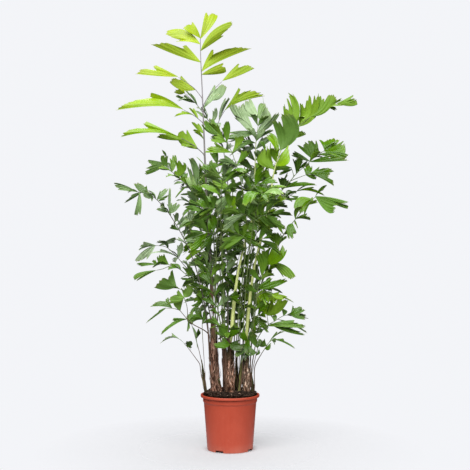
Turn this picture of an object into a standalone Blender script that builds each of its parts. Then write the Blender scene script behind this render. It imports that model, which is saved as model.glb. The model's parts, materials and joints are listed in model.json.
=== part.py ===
"""A potted fishtail palm: a clump of stems in a nursery pot, with every frond a piece of its own.

Metres, +Z up, and the clump's front faces -Y. The plan's coordinates start at the middle of the
pot's foot; the last step moves the origin to under the middle of the whole plant's box.
Each frond is one closed solid: a stalk that runs on as the midrib, side ribs, and leaflets
that grow out of the ribs' flat sides as thin plates.
"""
import math
import random

import bmesh
import bpy
from mathutils import Matrix, Vector
from mathutils.bvhtree import BVHTree

# ------------------------------------------------------------------ driving dimensions
RIM_RADIUS = 0.120          # a 24 cm nursery pot
POT_HEIGHT = 0.2235
FOOT_RADIUS = 0.0925
FOOT_HEIGHT = 0.0095
LIP_HEIGHT = 0.0125
BAND_HEIGHT = 0.0175        # straight band between the lip and the step
BAND_RADIUS = 0.1108
STEP_DEPTH = 0.0040
WALL = 0.0022
POT_SIDES = 40

NOTCH_WIDTH = 0.034         # drainage gaps in the foot ring
NOTCH_HEIGHT = 0.0075
NOTCH_TURN = -28.0          # degrees from the front to the first gap
HOLE_RADIUS = 0.006
HOLE_CIRCLE = 0.068
HOLE_COUNT = 8

GAP = 0.0003                # clearance between touching pieces
SOIL_EDGE = 0.2150
SOIL_CROWN = 0.2325
ROOT_DEPTH = 0.170          # height above the floor where the stems end inside the soil

LEAF_STATION = 0.0026       # half the length of midrib that a leaflet's base takes
TAIL_EDGE = 0.0008          # leaflet thickness at its tail, its blunt corner and its hem
CORNER_EDGE = 0.0012
HEM_EDGE = 0.0010
CLEAR = 0.0013              # extra half thickness that keeps leaflets apart
STEM_CLEAR = 0.0006         # and the space kept round stems and round ribs
RIB_CLEAR = 0.0008
CLASP_CLEAR = 0.0030        # from a stem to the corners of a frond's foot beside it


# ------------------------------------------------------------------ routes, ribs and leaflets
def smooth(points, step=0.004):
    """Points about every step metres on a Catmull-Rom curve through the given ones."""
    given = [Vector(point) for point in points]
    ends = [given[0] * 2 - given[1]] + given + [given[-1] * 2 - given[-2]]
    line = [given[0]]
    for a, b, c, d in zip(ends, ends[1:], ends[2:], ends[3:]):
        count = max(2, round((c - b).length / step))
        for index in range(1, count + 1):
            t = index / count
            line.append((b * 2 + (c - a) * t + (a * 2 - b * 5 + c * 4 - d) * t * t
                         + (b * 3 - a - c * 3 + d) * t ** 3) / 2)
    return line


class Leaflet:
    """A fishtail leaflet: where its tail, its blunt corner and the bulge of its hem lie."""

    def __init__(self, base, tail, corner, hem):
        self.base = base
        self.tail = tail
        self.corner = corner
        self.hem = hem

    def aim(self):
        return ((self.tail + self.corner + self.hem) / 3 - self.base).normalized()

    def facing(self):
        return (self.tail - self.base).cross(self.corner - self.base).normalized()

    def plate(self, spare=0.0, start=0.0):
        """Corners and faces of the leaflet as a closed plate, to test what it touches."""
        middle = (self.tail + self.corner + self.hem) / 3
        near = self.base.lerp(middle, start)
        lift = self.facing() * (CORNER_EDGE / 2 + spare)
        outline = (near, self.corner, self.tail, self.hem)
        corners = [point + lift for point in outline] + [point - lift for point in outline]
        faces = [(0, 1, 2), (0, 2, 3), (6, 5, 4), (7, 6, 4)]
        for index in range(4):
            after = (index + 1) % 4
            faces += [(index, index + 4, after + 4), (index, after + 4, after)]
        return corners, faces


class Rib:
    """A stalk, midrib or side rib: a smooth route, a taper, and what springs from it."""

    def __init__(self, points, base_radius, tip_radius, across=None):
        self.line = smooth(points)
        self.marks = [0.0]
        for a, b in zip(self.line, self.line[1:]):
            self.marks.append(self.marks[-1] + (b - a).length)
        self.length = self.marks[-1]
        self.base_radius = base_radius
        self.tip_radius = tip_radius
        run = self.line[-1] - self.line[0]
        self.across = across or Vector((-run.y, run.x, 0.0)).normalized()
        self.start = 0.0
        self.shoots = []

    def segment(self, distance):
        low, high = 0, len(self.marks) - 2
        while low < high:
            middle = (low + high + 1) // 2
            if self.marks[middle] <= distance:
                low = middle
            else:
                high = middle - 1
        return low

    def point(self, distance):
        index = self.segment(distance)
        share = (distance - self.marks[index]) / (self.marks[index + 1] - self.marks[index])
        return self.line[index].lerp(self.line[index + 1], share)

    def heading(self, distance):
        low = max(0.0, distance - 0.006)
        high = min(self.length, distance + 0.006)
        return (self.point(high) - self.point(low)).normalized()

    def radius(self, distance):
        share = 1 - distance / self.length
        return self.tip_radius + (self.base_radius - self.tip_radius) * share ** 1.2

    def sides(self, distance):
        """Directions across the rib, to its left or right side and to its upper side."""
        along = self.heading(distance)
        side = (self.across - along * self.across.dot(along)).normalized()
        return side, along.cross(side)

    def ring(self, distance, spare=0.0):
        side, up = self.sides(distance)
        size = self.radius(distance) + spare
        centre = self.point(distance)
        turns = ((1, -1), (1, 1), (-1, 1), (-1, -1))
        return [centre + (side * a + up * b) * size for a, b in turns]

    def nearest(self, x, z):
        """The distance along the rib that lies nearest to x and z, seen from the front."""
        offsets = [(point.x - x) ** 2 + (point.z - z) ** 2 for point in self.line]
        return self.marks[offsets.index(min(offsets))]

    def bends(self, start, end, angle=9.0, longest=0.25):
        """Distances between start and end where the route has turned enough to need a ring."""
        found = []
        last, held = start, self.heading(start)
        distance = start + 0.01
        while distance < end - 0.01:
            heading = self.heading(distance)
            if held.angle(heading) > math.radians(angle) or distance - last > longest:
                found.append(distance)
                last, held = distance, heading
            distance += 0.005
        return found

    def tube(self, spare=0.0):
        """Corners and faces of the bare rib, to test what it touches."""
        stops = [0.0] + self.bends(0.0, self.length, angle=5.0) + [self.length]
        corners = []
        for distance in stops:
            corners += self.ring(distance, spare)
        faces = [(3, 2, 1), (3, 1, 0)]
        for row in range(len(stops) - 1):
            for index in range(4):
                a, b = row * 4 + index, row * 4 + (index + 1) % 4
                faces += [(a, b, b + 4), (a, b + 4, a + 4)]
        last = len(corners) - 4
        faces += [(last, last + 1, last + 2), (last, last + 2, last + 3)]
        return corners, faces


# ------------------------------------------------------------------ growing a frond's solid
def bridge(bm, near, far, skip=()):
    """Join two four-cornered rings with side faces, and give back the sides left open."""
    open_sides = {}
    for index in range(4):
        after = (index + 1) % 4
        side = (near[index], near[after], far[after], far[index])
        if index in skip:
            open_sides[index] = side
        else:
            bm.faces.new(side)
    return open_sides


def turned(root, ring):
    """The root's corners, started from the one that leaves the least twist towards the ring."""
    root_middle = sum((vert.co for vert in root), Vector()) / 4
    ring_middle = sum((vert.co for vert in ring), Vector()) / 4

    def twist(turn):
        total = 0.0
        for index in range(4):
            a = (root[(index + turn) % 4].co - root_middle).normalized()
            b = (ring[index].co - ring_middle).normalized()
            total += (a - b).length_squared
        return total

    best = min(range(4), key=twist)
    return [root[(index + best) % 4] for index in range(4)]


def web(bm, near, ring):
    """Join a rib's open side to a plate's ring, each side folded outwards along a diagonal."""
    for index in range(4):
        after = (index + 1) % 4
        a, b, c, d = near[index], near[after], ring[after], ring[index]
        facing = (b.co - a.co).cross(c.co - a.co)
        if facing.dot(d.co - a.co) < 0:
            triangles = ((a, b, c), (a, c, d))
        else:
            triangles = ((a, b, d), (b, c, d))
        for triangle in triangles:
            bm.faces.new(triangle)


def grow_leaflet(bm, leaflet, root):
    """A leaflet's plate, from an open side of a rib out to its tail."""
    lift = leaflet.facing()
    places = [leaflet.corner + lift * CORNER_EDGE / 2, leaflet.corner - lift * CORNER_EDGE / 2,
              leaflet.hem - lift * HEM_EDGE / 2, leaflet.hem + lift * HEM_EDGE / 2]
    outward = (places[1] - places[0]).cross(places[2] - places[1])
    if outward.dot(leaflet.aim()) < 0:
        places.reverse()
    ring = [bm.verts.new(place) for place in places]
    web(bm, turned(root, ring), ring)
    above = bm.verts.new(leaflet.tail + lift * TAIL_EDGE / 2)
    below = bm.verts.new(leaflet.tail - lift * TAIL_EDGE / 2)
    if (ring[0].co - ring[1].co).dot(lift) < 0:
        above, below = below, above
    bm.faces.new((ring[0], ring[1], below, above))
    bm.faces.new((ring[1], ring[2], below))
    bm.faces.new((ring[2], ring[3], above, below))
    bm.faces.new((ring[3], ring[0], above))


def stations(rib):
    """Share the rib's shoots out over places along it, one to each side of a place."""
    spots = []
    spacing = LEAF_STATION * 2 + 0.001
    for distance, shoot, aim in sorted(rib.shoots, key=lambda entry: entry[0]):
        side, up = rib.sides(min(distance, rib.length))
        along = rib.heading(distance)
        facings = [side, up, -side, -up]
        order = sorted(range(4), key=lambda index: -facings[index].dot(aim))
        if distance > rib.length - 0.012 and along.dot(aim) > 0.75 * facings[order[0]].dot(aim):
            if not any(spot[0] == "tip" for spot in spots):
                spots.append(("tip", {0: shoot}))
                continue
        places = [spot for spot in spots if spot[0] != "tip"]
        last = places[-1] if places else None
        if last and distance - last[0] < spacing * 0.9 and order[0] not in last[1]:
            last[1][order[0]] = shoot
        else:
            place = max(distance, last[0] + spacing) if last else max(distance, 0.01)
            spots.append((place, {order[0]: shoot}))
    places = [spot for spot in spots if spot[0] != "tip"]
    limit = rib.length - LEAF_STATION - 0.0005
    eased = []
    for place, sides in reversed(places):
        eased.append((min(place, limit), sides))
        limit = eased[-1][0] - spacing
    eased.reverse()
    tips = [spot[1][0] for spot in spots if spot[0] == "tip"]
    return eased, tips[0] if tips else None


def grow(bm, rib, root=None):
    """Add a rib to the mesh as a four-sided tube, and then everything that springs from it."""
    places, tip = stations(rib)
    stops = [(rib.start, {})]
    for place, sides in places:
        stops += [(bend, {}) for bend in rib.bends(stops[-1][0], place - LEAF_STATION)]
        stops += [(place - LEAF_STATION, sides), (place + LEAF_STATION, {})]
    stops += [(bend, {}) for bend in rib.bends(stops[-1][0], rib.length)]
    if rib.length - stops[-1][0] > 0.0004:
        stops.append((rib.length, {}))
    rings = [[bm.verts.new(corner) for corner in rib.ring(distance)] for distance, _ in stops]
    if root is None:
        bm.faces.new(list(reversed(rings[0])))
    else:
        bridge(bm, turned(root, rings[0]), rings[0])
    for (_, sides), near, far in zip(stops, rings, rings[1:]):
        for index, open_side in bridge(bm, near, far, skip=sides).items():
            grow_shoot(bm, sides[index], open_side)
    if tip is None:
        bm.faces.new(rings[-1])
    else:
        grow_shoot(bm, tip, rings[-1])


def grow_shoot(bm, shoot, root):
    if isinstance(shoot, Leaflet):
        grow_leaflet(bm, shoot, root)
    else:
        grow(bm, shoot, root)


# ------------------------------------------------------------------ keeping pieces apart
class Space:
    """The space that is already taken, as search trees with their owner's name and their part."""

    def __init__(self):
        self.trees = []

    def take(self, owner, part, shape):
        self.trees.append((owner, part, BVHTree.FromPolygons(*shape)))

    def meets(self, shape, owner=None, ignore=()):
        """What the shape touches, apart from the owner's own parts that are ignored."""
        tree = BVHTree.FromPolygons(*shape)
        return [name for name, part, other in self.trees
                if not (name == owner and part in ignore) and tree.overlap(other)]


def fits(space, leaflet, owner):
    """Whether a leaflet clears all other pieces, and its own frond except close to its base."""
    if space.meets(leaflet.plate(CLEAR, 0.02), owner, ("rib", "leaflet", "foot")):
        return False
    if space.meets(leaflet.plate(CLEAR, 0.12), owner, ("rib", "foot")):
        return False
    return not space.meets(leaflet.plate(0.0, 0.22), owner, ("foot",))


def take_leaflet(space, owner, leaflet):
    space.take(owner, "leaflet", leaflet.plate(CLEAR, 0.15))
    space.take(owner, "foot", leaflet.plate(CLEAR, 0.02))


def spring(rib, distance, shoot, aim):
    rib.shoots.append((distance, shoot, aim))


# ------------------------------------------------------------------ leaflets placed one by one
DEPTH_TRIALS = (0.0, 0.02, -0.02, 0.04, -0.04, 0.065, -0.065, 0.09, -0.09)
HEM_SHARE = 0.80            # where the hem bulges, as a share of the blunt corner's reach
HEM_NEAREST = 0.40          # and its limits, as shares of the line from base to tail
HEM_FARTHEST = 0.72


def leaf(near, tail, corner, hem=-0.35, depth=0.015):
    """A leaflet in the plane of the view: where it springs from, its tail and its blunt corner.

    hem says how far its smooth edge bulges, as a share of the corner's height over the line
    from base to tail: below nought it bulges away from the corner, above nought towards it.
    """
    return near, tail, corner, hem, depth


def shaped_leaflet(base, tail, corner, hem, turn):
    """The leaflet between given points, its tail and corner moved in depth by turn."""
    far = Vector((tail[0], base.y + turn, tail[1]))
    blunt = Vector((corner[0], base.y + turn * 0.4, corner[1]))
    line = far - base
    along = line.normalized()
    reach = (blunt - base).dot(along)
    height = (blunt - base) - along * reach
    bulge = min(HEM_FARTHEST, max(HEM_NEAREST, HEM_SHARE * reach / line.length))
    return Leaflet(base, far, blunt, base + line * bulge + height * hem)


def place_leaflets(space, name, ribs, wanted):
    """Grow each wanted leaflet from the nearest rib, at the first depth that is free."""
    for near, tail, corner, hem, depth in wanted:
        def gap(rib):
            point = rib.point(rib.nearest(*near))
            return math.hypot(point.x - near[0], point.z - near[1])

        rib = min(ribs, key=gap)
        distance = rib.nearest(*near)
        base = rib.point(distance)
        for trial in DEPTH_TRIALS:
            leaflet = shaped_leaflet(base, tail, corner, hem, depth + trial)
            if fits(space, leaflet, name):
                take_leaflet(space, name, leaflet)
                spring(rib, distance, leaflet, leaflet.aim())
                break


# ------------------------------------------------------------------ leaflets placed by rule
def fan_leaflet(rng, base, forward, outward, up, length, spread):
    """A leaflet that leaves its rib at the angle spread, turned and drooping at random."""
    angle = math.radians(spread + rng.uniform(-9, 9))
    aim = (forward * math.cos(angle) + outward * math.sin(angle)
           + up * rng.uniform(-0.12, 0.4)).normalized()
    twist = math.radians(rng.uniform(-38, 38))
    flat = (up - aim * up.dot(aim)).normalized()
    facing = flat * math.cos(twist) + aim.cross(flat) * math.sin(twist)
    across = facing.cross(aim)
    if across.dot(forward) < 0:
        across = -across
    sag = Vector((0, 0, -length))
    wide = rng.uniform(0.17, 0.30)
    tail = base + aim * length + sag * rng.uniform(0.12, 0.34)
    corner = base + aim * length * rng.uniform(0.55, 0.72) + across * length * wide
    hem = base + aim * length * 0.52 - across * length * rng.uniform(0.06, 0.13)
    return Leaflet(base, tail, corner + sag * 0.04, hem + sag * 0.02)


def try_leaflet(space, name, rib, rng, distance, sign, length, spread):
    """Add a ruled leaflet on one side of a rib, or at its tip where sign is nought."""
    side, up = rib.sides(distance)
    if up.z < 0:
        up = -up
    forward = rib.heading(distance)
    outward = side * (sign or rng.choice((-0.4, 0.4)))
    for trial in range(9):
        size = length * (1.0 if trial < 4 else 0.78 if trial < 7 else 0.6)
        leaflet = fan_leaflet(rng, rib.point(distance), forward, outward, up, size, spread)
        if fits(space, leaflet, name):
            take_leaflet(space, name, leaflet)
            spring(rib, distance, leaflet, leaflet.aim())
            return


def leaf_out(space, name, rib, rng, start, pairs, length):
    """Pairs of leaflets along a rib from start, a share of its length, and one at its tip."""
    for row in range(pairs):
        share = row / pairs
        distance = rib.length * (start + (1 - start) * (share + rng.uniform(0.0, 0.35) / pairs))
        size = length * (0.72 + 0.5 * math.sin(math.pi * (0.2 + 0.7 * share)))
        for sign in (1, -1):
            try_leaflet(space, name, rib, rng, distance, sign,
                        size * rng.uniform(0.85, 1.12), 66 - 28 * share)
    try_leaflet(space, name, rib, rng, rib.length, 0, length * 0.95, 14)


def side_rib(rib, rng, distance, sign, length):
    """A pinna's rib: it leaves the midrib sideways, rises a little and droops to its tip."""
    side, up = rib.sides(distance)
    if up.z < 0:
        up = -up
    forward = rib.heading(distance)
    angle = math.radians(rng.uniform(48, 64))
    aim = (forward * math.cos(angle) + side * sign * math.sin(angle) + up * 0.15).normalized()
    base = rib.point(distance)
    droop = Vector((0, 0, -length * rng.uniform(0.08, 0.22)))
    points = [base, base + aim * length * 0.5 + up * length * 0.03, base + aim * length + droop]
    thick = rib.radius(distance)
    pinna = Rib(points, max(0.0010, thick * 0.55), 0.0009, forward)
    pinna.start = thick * 1.6 + 0.002
    return pinna, aim


# ------------------------------------------------------------------ the clump's plan
# name: points up the middle, radius at the foot, radius at the top, number of sides
STEMS = {
    "stem_left": ([(-0.058, -0.004, ROOT_DEPTH), (-0.060, -0.004, 0.26), (-0.064, -0.004, 0.36),
                   (-0.068, -0.004, 0.50)], 0.0212, 0.0110, 12),
    "root_left": ([(-0.028, -0.016, ROOT_DEPTH), (-0.033, -0.020, 0.22), (-0.045, -0.0235, 0.285)],
                  0.0052, 0.0034, 8),
    "stem_middle": ([(-0.001, -0.028, ROOT_DEPTH), (0.0, -0.028, 0.28), (0.001, -0.028, 0.41)],
                    0.0206, 0.0110, 12),
    "stem_back": ([(-0.018, 0.016, ROOT_DEPTH), (-0.021, 0.015, 0.30), (-0.020, 0.013, 0.42)],
                  0.0080, 0.0068, 10),
    "stem_right": ([(0.065, -0.013, ROOT_DEPTH), (0.065, -0.013, 0.27), (0.065, -0.013, 0.38)],
                   0.0172, 0.0090, 12),
    "cane_right": ([(0.030, -0.034, ROOT_DEPTH), (0.034, -0.034, 0.22), (0.043, -0.033, 0.29),
                    (0.047, -0.032, 0.36)], 0.0062, 0.0050, 8),
    "stem_back_right": ([(0.024, 0.022, ROOT_DEPTH), (0.026, 0.022, 0.34)], 0.0068, 0.0060, 10),
    "shoot_left": ([(-0.088, 0.000, ROOT_DEPTH), (-0.096, 0.000, 0.215), (-0.102, 0.000, 0.25),
                    (-0.107, 0.000, 0.29), (-0.112, 0.000, 0.33)], 0.0064, 0.0042, 8),
    "shoot_right": ([(0.086, 0.002, ROOT_DEPTH), (0.0925, 0.0015, 0.215), (0.091, 0.001, 0.25),
                     (0.088, 0.000, 0.285)], 0.0064, 0.0052, 8),
}

# Each frond: its midrib's route from the stem, the radius at its foot and tip, side ribs that
# start at their first point's place on the midrib, leaflets placed one by one, and rows of
# leaflets or pinnae placed by rule: (start, pairs, leaflet length) and
# (from, to, pairs, pinna length, leaflet length), both as shares of the midrib's length.
FRONDS = {
    "frond_crown": dict(
        route=[(-0.0665, -0.0105, 0.5025), (-0.070, -0.012, 0.62), (-0.081, -0.010, 0.80),
               (-0.091, -0.008, 0.95), (-0.100, -0.006, 1.12), (-0.107, -0.004, 1.30),
               (-0.114, -0.002, 1.47), (-0.120, 0.0, 1.60), (-0.121, 0.0, 1.672)],
        radii=(0.0074, 0.0012), across=(1, 0, 0),
        ribs=[[(-0.115, 0.0, 1.425), (-0.150, -0.012, 1.470), (-0.213, -0.020, 1.512)],
              [(-0.111, 0.0, 1.395), (-0.080, 0.012, 1.450), (-0.030, 0.022, 1.502)],
              [(-0.108, 0.0, 1.325), (-0.150, -0.020, 1.357), (-0.192, -0.035, 1.378)],
              [(-0.104, 0.0, 1.195), (-0.150, -0.030, 1.235), (-0.197, -0.050, 1.260)]],
        leaves=[leaf((-0.121, 1.672), (-0.050, 1.769), (-0.097, 1.774), -0.1, 0.02),
                leaf((-0.121, 1.664), (-0.190, 1.709), (-0.154, 1.733), 0.0, -0.02),
                leaf((-0.121, 1.648), (-0.259, 1.710), (-0.221, 1.664), -0.8, 0.03),
                leaf((-0.120, 1.622), (0.006, 1.736), (-0.030, 1.682), -1.1, -0.02),
                leaf((-0.119, 1.572), (-0.322, 1.641), (-0.180, 1.634), 0.05, -0.03),
                leaf((-0.116, 1.534), (0.088, 1.624), (-0.070, 1.616), 0.3, -0.03),
                leaf((-0.115, 1.522), (-0.017, 1.541), (-0.026, 1.568), -0.2, 0.03),
                leaf((-0.213, 1.512), (-0.381, 1.520), (-0.300, 1.549), 0.0, -0.03),
                leaf((-0.140, 1.460), (-0.246, 1.492), (-0.200, 1.514), -0.4, -0.01),
                leaf((-0.030, 1.502), (0.100, 1.555), (0.036, 1.569), 0.0, 0.02),
                leaf((-0.095, 1.425), (-0.013, 1.474), (-0.062, 1.479), -0.8, 0.0),
                leaf((-0.109, 1.385), (-0.040, 1.438), (-0.072, 1.438), -0.2, -0.03),
                leaf((-0.192, 1.378), (-0.456, 1.368), (-0.317, 1.431), 0.35, -0.05),
                leaf((-0.150, 1.357), (-0.227, 1.346), (-0.195, 1.368), 0.4, -0.02),
                leaf((-0.130, 1.342), (-0.168, 1.388), (-0.150, 1.384), -0.1, 0.02),
                leaf((-0.197, 1.260), (-0.435, 1.263), (-0.335, 1.317), 0.45, -0.03),
                leaf((-0.185, 1.253), (-0.297, 1.266), (-0.255, 1.284), -0.15, 0.02),
                leaf((-0.130, 1.218), (-0.208, 1.286), (-0.176, 1.294), -1.0, 0.0),
                leaf((-0.145, 1.228), (-0.199, 1.238), (-0.190, 1.226), -0.5, 0.04),
                leaf((-0.106, 1.285), (-0.157, 1.330), (-0.130, 1.322), -0.5, 0.02),
                leaf((-0.105, 1.262), (-0.146, 1.300), (-0.143, 1.285), -0.5, -0.02),
                leaf((-0.102, 1.155), (-0.137, 1.188), (-0.128, 1.180), -0.4, 0.0),
                leaf((-0.101, 1.140), (-0.044, 1.154), (-0.075, 1.174), -0.3, 0.01)]),
    "frond_crown_behind": dict(
        route=[(-0.0035, -0.0095, 0.385), (-0.010, 0.005, 0.50), (-0.014, 0.040, 0.75),
               (-0.008, 0.080, 1.05), (-0.035, 0.100, 1.25), (-0.089, 0.110, 1.345),
               (-0.137, 0.110, 1.412), (-0.193, 0.110, 1.464)],
        foot=("stem_middle", 0.100), radii=(0.0034, 0.0011),
        ribs=[[(-0.063, 0.105, 1.300), (-0.045, 0.095, 1.350), (-0.022, 0.085, 1.388)]],
        leaves=[leaf((-0.193, 1.464), (-0.236, 1.468), (-0.215, 1.485), -0.3, 0.01),
                leaf((-0.150, 1.425), (-0.230, 1.452), (-0.190, 1.453), -0.2, 0.03),
                leaf((-0.137, 1.412), (-0.190, 1.473), (-0.165, 1.458), -0.2, -0.02),
                leaf((-0.100, 1.360), (-0.147, 1.396), (-0.128, 1.372), -0.2, 0.02),
                leaf((-0.080, 1.335), (-0.054, 1.398), (-0.074, 1.388), -0.5, -0.03),
                leaf((-0.040, 1.345), (-0.003, 1.445), (-0.020, 1.440), -0.2, 0.05),
                leaf((-0.022, 1.388), (0.145, 1.444), (0.038, 1.477), 0.3, -0.02),
                leaf((-0.050, 1.272), (-0.015, 1.296), (-0.050, 1.300), -0.4, -0.03)],
        pairs=(0.48, 8, 0.085)),
    "frond_centre": dict(
        route=[(0.0020, -0.0295, 0.4125), (0.0065, -0.030, 0.52), (0.013, -0.030, 0.62),
               (0.033, -0.028, 0.74), (0.056, -0.022, 0.83), (0.086, -0.010, 0.91),
               (0.100, 0.005, 1.02), (0.102, 0.020, 1.15), (0.106, 0.030, 1.25),
               (0.120, 0.035, 1.35)],
        radii=(0.0088, 0.0012), across=(1, 0.2, 0),
        leaves=[leaf((0.107, 1.265), (0.000, 1.404), (0.042, 1.404), -0.3, 0.03),
                leaf((0.119, 1.345), (0.046, 1.405), (0.080, 1.432), -0.5, 0.02),
                leaf((0.120, 1.350), (0.162, 1.382), (0.132, 1.436), -0.5, 0.05),
                leaf((0.106, 1.290), (-0.026, 1.252), (0.000, 1.285), -0.4, -0.04),
                leaf((0.104, 1.245), (0.000, 1.190), (0.045, 1.250), 0.4, -0.06),
                leaf((0.103, 1.225), (0.028, 1.200), (0.048, 1.226), -0.3, -0.03),
                leaf((0.110, 1.295), (0.206, 1.371), (0.157, 1.354), -0.9, 0.03),
                leaf((0.105, 1.255), (0.144, 1.297), (0.124, 1.300), -0.3, -0.03),
                leaf((0.104, 1.280), (0.052, 1.330), (0.010, 1.365), -0.3, 0.06)],
        pairs=(0.56, 9, 0.085)),
    "frond_top_right": dict(
        route=[(0.0610, -0.0140, 0.3825), (0.064, -0.016, 0.47), (0.072, -0.018, 0.56),
               (0.082, -0.022, 0.65), (0.098, -0.030, 0.76), (0.122, -0.038, 0.84),
               (0.145, -0.045, 0.92), (0.162, -0.050, 1.02), (0.178, -0.055, 1.13),
               (0.215, -0.060, 1.235), (0.250, -0.060, 1.280), (0.290, -0.060, 1.318),
               (0.340, -0.060, 1.358), (0.388, -0.060, 1.388), (0.430, -0.060, 1.398)],
        radii=(0.0080, 0.0012), across=(0.5, 0.8, 0),
        leaves=[leaf((0.430, 1.398), (0.512, 1.395), (0.496, 1.427), -0.1, 0.01),
                leaf((0.385, 1.386), (0.455, 1.419), (0.425, 1.413), -0.3, 0.03),
                leaf((0.375, 1.382), (0.450, 1.387), (0.420, 1.393), 0.1, -0.03),
                leaf((0.325, 1.346), (0.424, 1.422), (0.360, 1.417), -0.4, -0.01),
                leaf((0.275, 1.304), (0.353, 1.435), (0.288, 1.392), -0.7, -0.03),
                leaf((0.300, 1.327), (0.346, 1.350), (0.345, 1.375), -0.3, -0.04),
                leaf((0.232, 1.258), (0.250, 1.435), (0.224, 1.385), -1.1, -0.02),
                leaf((0.205, 1.208), (0.246, 1.352), (0.176, 1.322), -0.6, -0.05),
                leaf((0.195, 1.180), (0.160, 1.285), (0.150, 1.262), -0.5, 0.03),
                leaf((0.183, 1.150), (0.237, 1.180), (0.237, 1.228), -0.5, -0.03),
                leaf((0.180, 1.135), (0.120, 1.195), (0.160, 1.235), -0.4, -0.03)],
        pairs=(0.46, 7, 0.090)),
    "frond_right_fans": dict(
        route=[(0.0820, -0.0045, 0.345), (0.088, 0.004, 0.50), (0.100, 0.008, 0.65),
               (0.115, 0.010, 0.78), (0.145, 0.020, 0.92), (0.187, 0.030, 1.02),
               (0.237, 0.035, 1.079), (0.272, 0.035, 1.122), (0.307, 0.035, 1.152),
               (0.341, 0.035, 1.184), (0.365, 0.035, 1.203), (0.389, 0.035, 1.217)],
        foot=("stem_right", 0.030), radii=(0.0034, 0.0011), across=(0.6, 0.6, 0.2),
        ribs=[[(0.249, 0.035, 1.092), (0.285, 0.020, 1.108), (0.328, 0.005, 1.121)],
              [(0.262, 0.035, 1.110), (0.252, 0.060, 1.150)]],
        leaves=[leaf((0.389, 1.217), (0.474, 1.224), (0.466, 1.254), -0.9, 0.0),
                leaf((0.385, 1.215), (0.453, 1.263), (0.367, 1.259), -0.2, 0.02),
                leaf((0.362, 1.200), (0.486, 1.199), (0.443, 1.179), -0.3, -0.02),
                leaf((0.338, 1.181), (0.353, 1.259), (0.277, 1.240), -0.2, 0.0),
                leaf((0.345, 1.187), (0.360, 1.226), (0.343, 1.221), -0.5, -0.03),
                leaf((0.328, 1.172), (0.481, 1.175), (0.405, 1.187), -0.1, -0.05),
                leaf((0.328, 1.172), (0.254, 1.200), (0.264, 1.213), -0.3, 0.02),
                leaf((0.272, 1.122), (0.285, 1.183), (0.257, 1.181), -0.2, -0.02),
                leaf((0.252, 1.150), (0.172, 1.146), (0.182, 1.166), -0.4, 0.01),
                leaf((0.254, 1.140), (0.203, 1.118), (0.215, 1.136), -0.3, 0.02),
                leaf((0.328, 1.121), (0.424, 1.129), (0.365, 1.146), -0.2, -0.01),
                leaf((0.322, 1.120), (0.421, 1.070), (0.403, 1.118), 0.2, -0.03),
                leaf((0.312, 1.117), (0.336, 1.155), (0.299, 1.147), -0.3, 0.02),
                leaf((0.310, 1.116), (0.352, 1.099), (0.350, 1.116), -0.3, 0.01),
                leaf((0.222, 1.063), (0.355, 1.074), (0.278, 1.088), 0.3, -0.02),
                leaf((0.214, 1.055), (0.224, 1.104), (0.197, 1.105), -0.3, -0.01)],
        pairs=(0.50, 6, 0.080)),
    "frond_right_arch": dict(
        route=[(0.0310, 0.0170, 0.3375), (0.040, 0.026, 0.50), (0.062, 0.050, 0.70),
               (0.102, 0.070, 0.86), (0.153, 0.080, 0.96), (0.199, 0.085, 1.006),
               (0.240, 0.085, 1.028), (0.276, 0.085, 1.051)],
        foot=("stem_back_right", 0.060), radii=(0.0028, 0.0011),
        leaves=[leaf((0.276, 1.051), (0.396, 1.031), (0.345, 1.066), 0.6, 0.01),
                leaf((0.250, 1.036), (0.287, 1.033), (0.275, 1.018), 0.2, 0.02),
                leaf((0.220, 1.018), (0.291, 1.021), (0.255, 1.012), -0.1, -0.02)],
        pairs=(0.42, 8, 0.085)),
    "frond_right_reach": dict(
        route=[(0.0795, -0.0255, 0.335), (0.085, -0.036, 0.46), (0.100, -0.046, 0.55),
               (0.108, -0.052, 0.63), (0.122, -0.064, 0.69), (0.145, -0.075, 0.745),
               (0.166, -0.080, 0.775), (0.194, -0.080, 0.828), (0.210, -0.080, 0.863),
               (0.224, -0.080, 0.888), (0.258, -0.080, 0.929), (0.283, -0.080, 0.963),
               (0.313, -0.080, 0.998), (0.344, -0.080, 1.024)],
        foot=("stem_right", 0.090), radii=(0.0029, 0.0011), across=(0.6, 0.7, 0),
        ribs=[[(0.108, -0.052, 0.628), (0.140, -0.062, 0.642), (0.170, -0.072, 0.633)]],
        leaves=[leaf((0.344, 1.024), (0.471, 0.976), (0.473, 0.998), -0.1, 0.01),
                leaf((0.344, 1.022), (0.415, 0.961), (0.428, 0.990), -0.6, -0.01),
                leaf((0.330, 1.012), (0.253, 0.977), (0.296, 0.949), -0.6, -0.02),
                leaf((0.246, 0.916), (0.233, 0.853), (0.261, 0.878), -0.8, -0.03),
                leaf((0.258, 0.930), (0.273, 0.897), (0.262, 0.912), -0.6, 0.02),
                leaf((0.150, 0.752), (0.224, 0.813), (0.184, 0.837), -0.5, -0.03),
                leaf((0.160, 0.766), (0.262, 0.705), (0.213, 0.703), -0.3, -0.03),
                leaf((0.152, 0.752), (0.207, 0.737), (0.180, 0.746), -0.3, 0.02),
                leaf((0.126, 0.705), (0.136, 0.812), (0.102, 0.790), -0.4, -0.03),
                leaf((0.170, 0.633), (0.217, 0.613), (0.195, 0.641), -0.4, -0.01),
                leaf((0.165, 0.636), (0.257, 0.600), (0.225, 0.620), 0.3, 0.02),
                leaf((0.114, 0.658), (0.232, 0.686), (0.163, 0.694), -0.4, -0.01),
                leaf((0.118, 0.672), (0.184, 0.647), (0.160, 0.672), 0.2, 0.03)],
        pairs=(0.36, 8, 0.075)),
    "frond_right_low": dict(
        route=[(0.0850, 0.0040, 0.2875), (0.093, 0.012, 0.36), (0.105, 0.020, 0.43),
               (0.130, 0.025, 0.475), (0.157, 0.025, 0.503), (0.181, 0.025, 0.516),
               (0.204, 0.025, 0.532), (0.223, 0.025, 0.541), (0.250, 0.025, 0.543)],
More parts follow.
